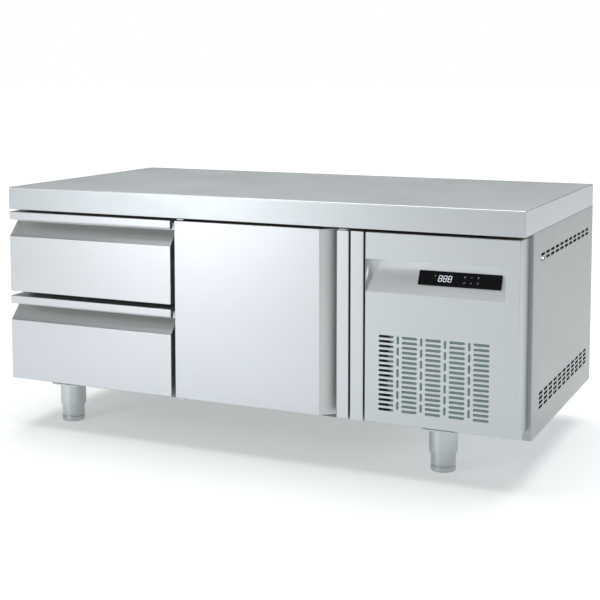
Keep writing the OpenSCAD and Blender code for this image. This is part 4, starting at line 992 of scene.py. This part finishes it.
# %% Evaporator
inlet = [[air_y, air_z, 161 * MM, 161 * MM, 80.4 * MM]]
outlets = slots(ey1 - (30 - 3 + 14 * np.arange(6)) * MM, [air_z], 6 * MM, ez1 - ez0 - 60 * MM, 2.8 * MM)
side = pan_side(ex0, ex1)
loop = plan_loop(ey0, ey1, ez0, ez1, 3 * MM, side[0, 0])[0]
shape = punched(loop, np.vstack([inlet, outlets]), ex0, 1, sideways, 0.5 * MM, 1.6 * MM)
shape.grid(dish(ey0, ey1, ez0, ez1, 3 * MM, side)[..., ORDER["x"]], caps=(False, False))
sheet_piece("evaporator_housing", shape, liner_steel, "evaporator_cover", (-1, 0, 0))
shape = Shape()
a = np.linspace(0, 2 * np.pi, 10, endpoint=False)
for r, w in ((80, 2.2), (64, 1), (48, 1), (32, 1), (16, 1)):
    ring = np.stack([(r + w * np.cos(a)) * MM, (2.2 + w * np.sin(a)) * MM], 1)
    shape.grid(turned(ring, (ex0, air_y, air_z), "x", 64), ring=True)
for a in np.radians([0, 60, 120, 180, 240, 300]):
    ends = np.array([[3.4, r * math.cos(a), r * math.sin(a)] for r in (14, 48, 80)]) * MM + [ex0, air_y, air_z]
    shape.grid(wire(ends, 1 * MM, 8))
piece("fan_guard", shape, wire_steel, slot="stainless")


def coil(name, node, along, rows, tube, step, material):
    """Fins across the axis along, and one tube that goes to and fro through them with bends clear of the fins."""
    x0, x1, y0, y1, z0, z1 = span(node)
    shape = Shape()
    a0, a1 = ((x0, x1), (y0, y1))[along]
    for a in np.arange(a0 + 15 * MM, a1 - 15 * MM, step):
        box = (a, a + 0.35 * MM, y0, y1, z0, z1) if along == 0 else (x0, x1, a, a + 0.35 * MM, z0, z1)
        corners = np.array([[box[i], box[2 + j], box[4 + k]] for i in (0, 1) for j in (0, 1) for k in (0, 1)])
        shape.add(corners, [[0, 1, 3, 2], [4, 6, 7, 5], [0, 4, 5, 1], [2, 3, 7, 6], [0, 2, 6, 4], [1, 5, 7, 3]])
    heights = np.linspace(z0 + tube, z1 - tube, rows)
    across = (y0 + y1) / 2 if along == 0 else (x0 + x1) / 2
    ends = [a0 + 5 * MM, a1 - 5 * MM]
    way = [(ends[(i + k) % 2], h) for i, h in enumerate(heights) for k in (0, 1)]
    path = np.array([(a, across, h) if along == 0 else (across, a, h) for a, h in way])
    shape.grid(wire(rounded(path, 9 * MM, 5, closed=False), 4.6 * MM, 12))
    return piece(name, shape, material, [node])


coil("evaporator_fins", "evaporator_coil", 1, 6, 20 * MM, 4 * MM, fin_metal)
# The condenser's fins glow with painted light.
coil("condenser_fins", "condenser_coil", 0, 7, 18 * MM, 2.6 * MM, teal_fins_with_painted_glow)
shaft = lambda length: np.array([[3.2, 0], [4, 0.8], [4, length]]) * MM
x0, x1, y0, y1, z0, z1 = span("evaporator_motor")
long = (x1 - x0) / MM - 16
case = [[4, 0], [17, 0], [24, 4], [24, 12], [23, 13], [24, 14], [24, long], [4, long]]
shape = Shape().grid(lathe(case, [0, 2, 2, 0.3, 0.3, 0.3, 2, 0], (x0 + 16 * MM, air_y, air_z), "x"))
shape.grid(turned(shaft(20), (x0, air_y, air_z), "x", 24))
shape.grid(block(x1 - 4 * MM, x1, y0, y1, air_z - 6 * MM, air_z + 6 * MM, 2 * MM, 0.4 * MM, "x"))
piece("evaporator_fan_motor", shape, black_enamel, ["evaporator_motor"])
print("coils and evaporator motor made")

# %% [markdown]
# ## Machine bay
# Behind the grille stand the condenser's fan in its shroud, the compressor with a welded seam, the bent pipes, the
# electrical box and the cable gland, all on a tray with a rolled rim.

# %% Shroud, motor and tray
x0, x1, y0, y1, z0, z1 = throat
hole = [[fan_x, fan_z, 208 * MM, 208 * MM, 103.8 * MM]]
loop, plate = plan_loop(x0, x1, z0, z1, 4 * MM)[0], y0 + 3 * MM
shape = punched(loop, hole, y0, 1, upright, 0.4 * MM, 3 * MM)
flat(shape, loop, hole_rims(hole, [0.4 * MM])[:, 0], lambda p: upright(p, np.full(len(p), plate)))
shape.grid(dish(x0, x1, z0, z1, 4 * MM, [[0, y0], [0, plate]])[..., ORDER["y"]], caps=(False, False))
long = (y1 - y0) / MM
duct = [[102.2, 0], [104.4, 0], [104.4, long], [102.2, long]]
shape.grid(lathe(duct, 0.5, (fan_x, y0, fan_z), "y", 96, 2, closed=True), ring=True)
piece("condenser_shroud", shape, zinc_steel, ["fan_shroud"])
x0, x1, y0, y1, z0, z1 = span("fan_motor")
case_start = y1 - 60 * MM
case = [[4, 0], [26, 0], [38, 6], [38, 18], [36.6, 19], [38, 20],
        [38, 36], [36.6, 37], [38, 38], [38, 52], [26, 56], [4, 56]]
ease = [0, 2, 3, 0.3, 0.3, 0.3, 0.3, 0.3, 0.3, 2, 2, 0]
shape = Shape().grid(lathe(case, ease, (fan_x, case_start, fan_z), "y", 64))
shape.grid(turned(shaft((case_start - y0) / MM + 2), (fan_x, y0, fan_z), "y", 24))
shape.grid(block(fan_x - 12 * MM, fan_x + 12 * MM, y1 - 8 * MM, y1, z0, fan_z, 4 * MM, 0.6 * MM, "y"))
piece("condenser_fan_motor", shape, black_enamel, ["fan_motor"])
x0, x1, y0, y1, z0, z1 = span("machine_tray")
inner = z0 + 2 * MM
tray = [[40 * MM, z0], [0, z0], [0, z1], [2 * MM, z1], [2 * MM, inner], [40 * MM, inner]]
tray = eased(tray, np.array([0, 2.5, 0.9, 0.9, 1.5, 0]) * MM, 4)
piece("machine_floor_tray", Shape().grid(dish(x0, x1, y0, y1, 6 * MM, tray)), zinc_steel, ["machine_tray"])

# %% [markdown]
# ### Compressor
# A sealed compressor is a pressed pot and lid, welded round the middle. One turned section with a raised bead makes
# all three. Waisted rubber feet, a terminal cover and two pipe stubs are added to it.

# %% Compressor
x0, x1, y0, y1, z0, z1 = span("compressor")
cx, cy = x0 + 82 * MM, 90 * MM
r, foot = 72 * MM, 20 * MM
low, top = z0 + foot, z0 + foot + 180 * MM
shape = Shape()
a = np.radians(np.linspace(0, 84, 9))
dome = np.column_stack([(r - 3 * MM) * np.cos(a), top - 32 * MM + 32 * MM * np.sin(a)])
wall = r - 3 * MM
pot = [[14 * MM, low], [r - 12 * MM, low], [wall, low + 10 * MM], [wall, low + 104 * MM], [r, low + 106 * MM],
       [r, low + 114 * MM], [wall, low + 116 * MM], dome[0].tolist()]
pot = eased(pot, np.array([0, 6, 6, 0.8, 0.8, 0.8, 0.8, 0]) * MM, 4)
shape.grid(turned(np.vstack([pot, dome[1:]]), (cx, cy, 0), sides=72))
shape.grid(block(x0, x0 + 164 * MM, cy - 50 * MM, cy + 50 * MM, low - 4 * MM, low, 16 * MM, 0.8 * MM))
waist = [[9, 0], [9, 5], [6.6, 7.5], [6.6, 9.5], [9, 12], [9, 18]]
for px in (cx - r, cx + r):
    for py in (cy - 38 * MM, cy + 38 * MM):
        shape.grid(lathe(waist, [0, 1.2, 0.8, 0.8, 1.2, 0], (px, py, z0), sides=32))
cover = (cx + r - 4 * MM, cx + r + 20 * MM, cy - 22 * MM, cy + 22 * MM, z0 + 60 * MM, z0 + 116 * MM)
shape.grid(block(*cover, 5 * MM, 2 * MM, "x"))
back_x, out_x, out_y = cx - 40 * MM, cx + 36 * MM, cy - 20 * MM
stub = [[7, 0], [7, 8], [6.2, 9], [7, 10], [7, 46.4]]
for px, py in ((back_x, cy), (out_x, out_y)):
    shape.grid(lathe(stub, [0, 0.3, 0.3, 0.3, 0], (px, py, top - 32.4 * MM), sides=32, steps=2))
piece("hermetic_compressor", shape, black_enamel, ["compressor"])
print("compressor top at", round(top, 3))

# %% [markdown]
# ### Pipes
# Three copper runs join the evaporator, the compressor and the condenser, with a drier in the last. Each is a list of
# corners between the nodes it joins. A bend takes at most 45 % of the shorter straight beside it.

# %% Pipes
port_y = ey1 - 16 * MM
tube_x0, tube_x1, _, coil_y1, coil_z0, _ = span("evaporator_coil")
tube_x, port_z = (tube_x0 + tube_x1) / 2, coil_z0 + 20 * MM
cond_x, _, cond_y, _, cond_z, _ = span("condenser_coil")
drier_x, shroud_y = span("base_panel")[1] + 34 * MM, throat[2]
drop_x, over, back_z, stub_z = drier_x + 24 * MM, top + 70 * MM, top + 40 * MM, top + 14 * MM
far_y, near_y = shroud_y + 164 * MM, cond_y + 22 * MM
in_x, liquid_y, liquid_z = cond_x + 18 * MM, shroud_y + 42 * MM, cond_z + 18 * MM
back_to_pot = [
    [tube_x, coil_y1 - 6 * MM, port_z], [tube_x, port_y, port_z], [drop_x, port_y, port_z], [drop_x, port_y, back_z],
    [back_x, port_y, back_z], [back_x, cy, back_z], [back_x, cy, stub_z],
]
hot_gas = [
    [out_x, out_y, stub_z], [out_x, out_y, over], [out_x, far_y, over], [in_x, far_y, over], [in_x, near_y, over],
    [in_x, near_y, cond_z + 232 * MM],
]
liquid = [
    [cond_x + 9 * MM, shroud_y + 3 * MM, liquid_z], [cond_x + 9 * MM, liquid_y, liquid_z],
    [drier_x, liquid_y, liquid_z], [drier_x, port_y - 27.5 * MM, liquid_z],
]
runs = ((5, 20, back_to_pot), (4, 16, hot_gas), (4, 14, liquid))
shape = Shape()
for radius, bend, corners in runs:
    gaps = np.linalg.norm(np.diff(np.array(corners), axis=0), axis=1)
    room = np.minimum(np.append(gaps, 1), np.insert(gaps, 0, 1)) * 0.45
    shape.grid(wire(rounded(corners, np.minimum(room, bend * MM), 8, closed=False), radius * MM, 16))
drier = [[4, 0], [5, 2], [12, 14], [12, 96], [5, 108], [4, 110]]
shape.grid(lathe(drier, [0, 1, 4, 4, 1, 0], (drier_x, shroud_y + 84 * MM, liquid_z), "y", 32))
piece("copper_lines", shape, copper, ["refrigerant_pipes"])
print("pipe runs:", len(runs))

# %% [markdown]
# ### Electrical box, gland and screws
# A lid wider than its box with four screw heads, a gland with its lock nut, and screws with a cut thread. All are
# blocks or turned parts.

# %% Electrical box, gland and screws
x0, x1, y0, y1, z0, z1 = span("electrical_box")
lid, inset = x1 - 4 * MM, 3 * MM
shape = Shape().grid(block(x0, lid, y0 + inset, y1 - inset, z0 + inset, z1 - inset, 5 * MM, 1 * MM, "x"))
shape.grid(block(lid, x1, y0, y1, z0, z1, 6 * MM, 1.2 * MM, "x"))
head = [[4.2, -1], [4.2, 0.2], [1.4, 0.2], [1.2, -0.8]]
for y in (y0 + 12 * MM, y1 - 12 * MM):
    for z in (z0 + 12 * MM, z1 - 12 * MM):
        shape.grid(lathe(head, [0, 0.3, 0.2, 0], (x1 - 0.25 * MM, y, z), "x", 24, 2))
piece("control_box", shape, box_grey, ["electrical_box"])
x0, x1, y0, y1, z0, z1 = span("power_inlet")
centre = ((x0 + x1) / 2, y0, (z0 + z1) / 2)
nut = [[5, 0.4], [16, 0], [17, 5], [17, 14.8], [5, 14.8]]
collar = [[5, 12], [12.8, 12], [12.8, 15.2], [11, 16], [5, 16]]
shape = Shape().grid(lathe(nut, 0.6, centre, "y", closed=True), ring=True)
shape.grid(lathe(collar, 0.3, centre, "y", closed=True), ring=True)
piece("cable_gland", shape, black_enamel, ["power_inlet"])
x0, x1, y0, y1, z0, z1 = span("panel_screws")
turns = np.arange(22)
thread = np.column_stack([np.where(turns % 2 == 0, 3.2, 3.9), 2 + turns * 0.4])
shank = np.vstack([[[0.6, 0.2]], thread, [[3.9, 11.4], [3.6, 12]]]) * MM
shape = Shape()
places = [(x, y0, z) for x in (x0 + 4 * MM, x1 - 4 * MM) for z in (z0 + 4 * MM, (z0 + z1) / 2, z1 - 4 * MM)]
for place in places:
    shape.grid(turned(shank, place, "y", 20))
piece("grille_screws", shape, zinc_steel, ["panel_screws"])
print("screws:", len(places))

# %% [markdown]
# ## Finish for what the CAD model already has right
# Flat sheets, blocks and hidden parts keep their CAD shape. They only need a finish.

# %% Materials for carried-over nodes
finish_of = {
    "galvanized": zinc_steel, "stainless": liner_steel, "foam": foam_cream, "board": board_brown, "gasket": seal_rubber,
    "nylon": white_nylon, "display_glass": glass_black, "fins": fin_metal, "fan_plastic": fan_black,
    "black_enamel": black_enamel, "copper": copper,
}
for row in frame["record"]["subparts"]:
    node = frame["nodes"][row["node"]]
    node.data.materials.clear()
    node.data.materials.append(finish_of[row["material_slot"]])
# The base panel takes the sides' steel, which is painted darker.
frame["nodes"]["base_panel"].data.materials[0] = side_shaded_steel
# The frame nodes take the dark plastic too, which paints shade into the gaps.
for name in ("frame_rails", "frame_uprights"):
    frame["nodes"][name].data.materials[0] = break_strip_and_gap_shade

# %% [markdown]
# ## Floor, light and camera
# The floor is pale paper. A narrow upright light at the front left is mirrored by the fronts as a bright band, and a
# broad one hangs above. Steel shows what it reflects, so the world is a mid grey all round and plain white only to
# the camera.

# %% Floor
def paper(place):
    """Studio paper: pale round the object and lit evenly farther out, so that it meets the background unseen."""
    reach = place.node("VectorMath", {0: place}, out="Value", operation="LENGTH")
    sockets = {"Value": reach, "From Min": 1.1, "From Max": 3.2}
    far = place.node("MapRange", sockets, interpolation_type="SMOOTHSTEP")
    drift = noise(place, (2.1, 2.3, 1.0), 3.0)
    near = tinted(place, (0.85, 0.86, 0.86), (0.88, 0.89, 0.89), drift)
    glow = tinted(place, (0.31, 0.32, 0.32), (0.33, 0.33, 0.33), drift)
    return {
        "Base Color": tinted(place, near, (0.2, 0.2, 0.2), far),
        "Emission Color": tinted(place, glow, (1, 1, 1), far),
        "Roughness": 0.5 + 0.1 * (drift - 0.5),
    }


REACH = 60
mesh = bpy.data.meshes.new("floor")
corners = [(-REACH, -REACH, 0), (REACH, -REACH, 0), (REACH, REACH, 0), (-REACH, REACH, 0)]
mesh.from_pydata(corners, [], [[0, 1, 2, 3]])
floor = bpy.data.objects.new("floor", mesh)
bpy.context.scene.collection.objects.link(floor)
mesh.materials.append(material("pale_floor", paper, Emission_Strength=1.0))


def soft_light(name, power, width, height, place, aim):
    lamp = bpy.data.lights.new(name, "AREA")
    lamp.shape, lamp.size, lamp.size_y, lamp.energy = "RECTANGLE", width, height, power
    obj = bpy.data.objects.new(name, lamp)
    bpy.context.scene.collection.objects.link(obj)
    obj.location = place
    obj.rotation_euler = (Vector(aim) - Vector(place)).to_track_quat("-Z", "Y").to_euler()


soft_light("front_band", 20, 0.5, 2.2, (-1.62, -3.1, 1.15), (0, -0.3, 0.35))
soft_light("overhead", 225, 5.0, 5.0, (-0.1, 0.8, 4.2), (0, 0, 0))
bpy.context.scene.view_settings.view_transform = "Standard"
world = bpy.data.worlds.new("studio")
bpy.context.scene.world = world
world.use_nodes = True
tree = world.node_tree
sky = next(n for n in tree.nodes if n.type == "BACKGROUND")
seen = Value(tree, None).node("LightPath", out="Is Camera Ray")
shade = tinted(seen, (0.30, 0.31, 0.315), (1, 1, 1), seen)
tree.links.new(shade.socket, sky.inputs["Color"])

# %% [markdown]
# ### Camera
# A long lens from the front right, a little above the worktop. It looks down by only five degrees, so upright edges
# stay nearly upright, and a shift of the lens places the counter in the picture.

# %% Camera
lens = bpy.data.cameras.new("camera")
camera = bpy.data.objects.new("camera", lens)
bpy.context.scene.collection.objects.link(camera)
bpy.context.scene.camera = camera
lens.sensor_width, lens.lens, lens.shift_y = 36, 75.5, -0.20
lens.clip_end = 200
camera.location = (1.330, -2.952, 0.921)
camera.rotation_euler = (math.radians(90 - 5.07), 0, math.radians(24.46))
print("camera at", [round(c, 3) for c in camera.location])
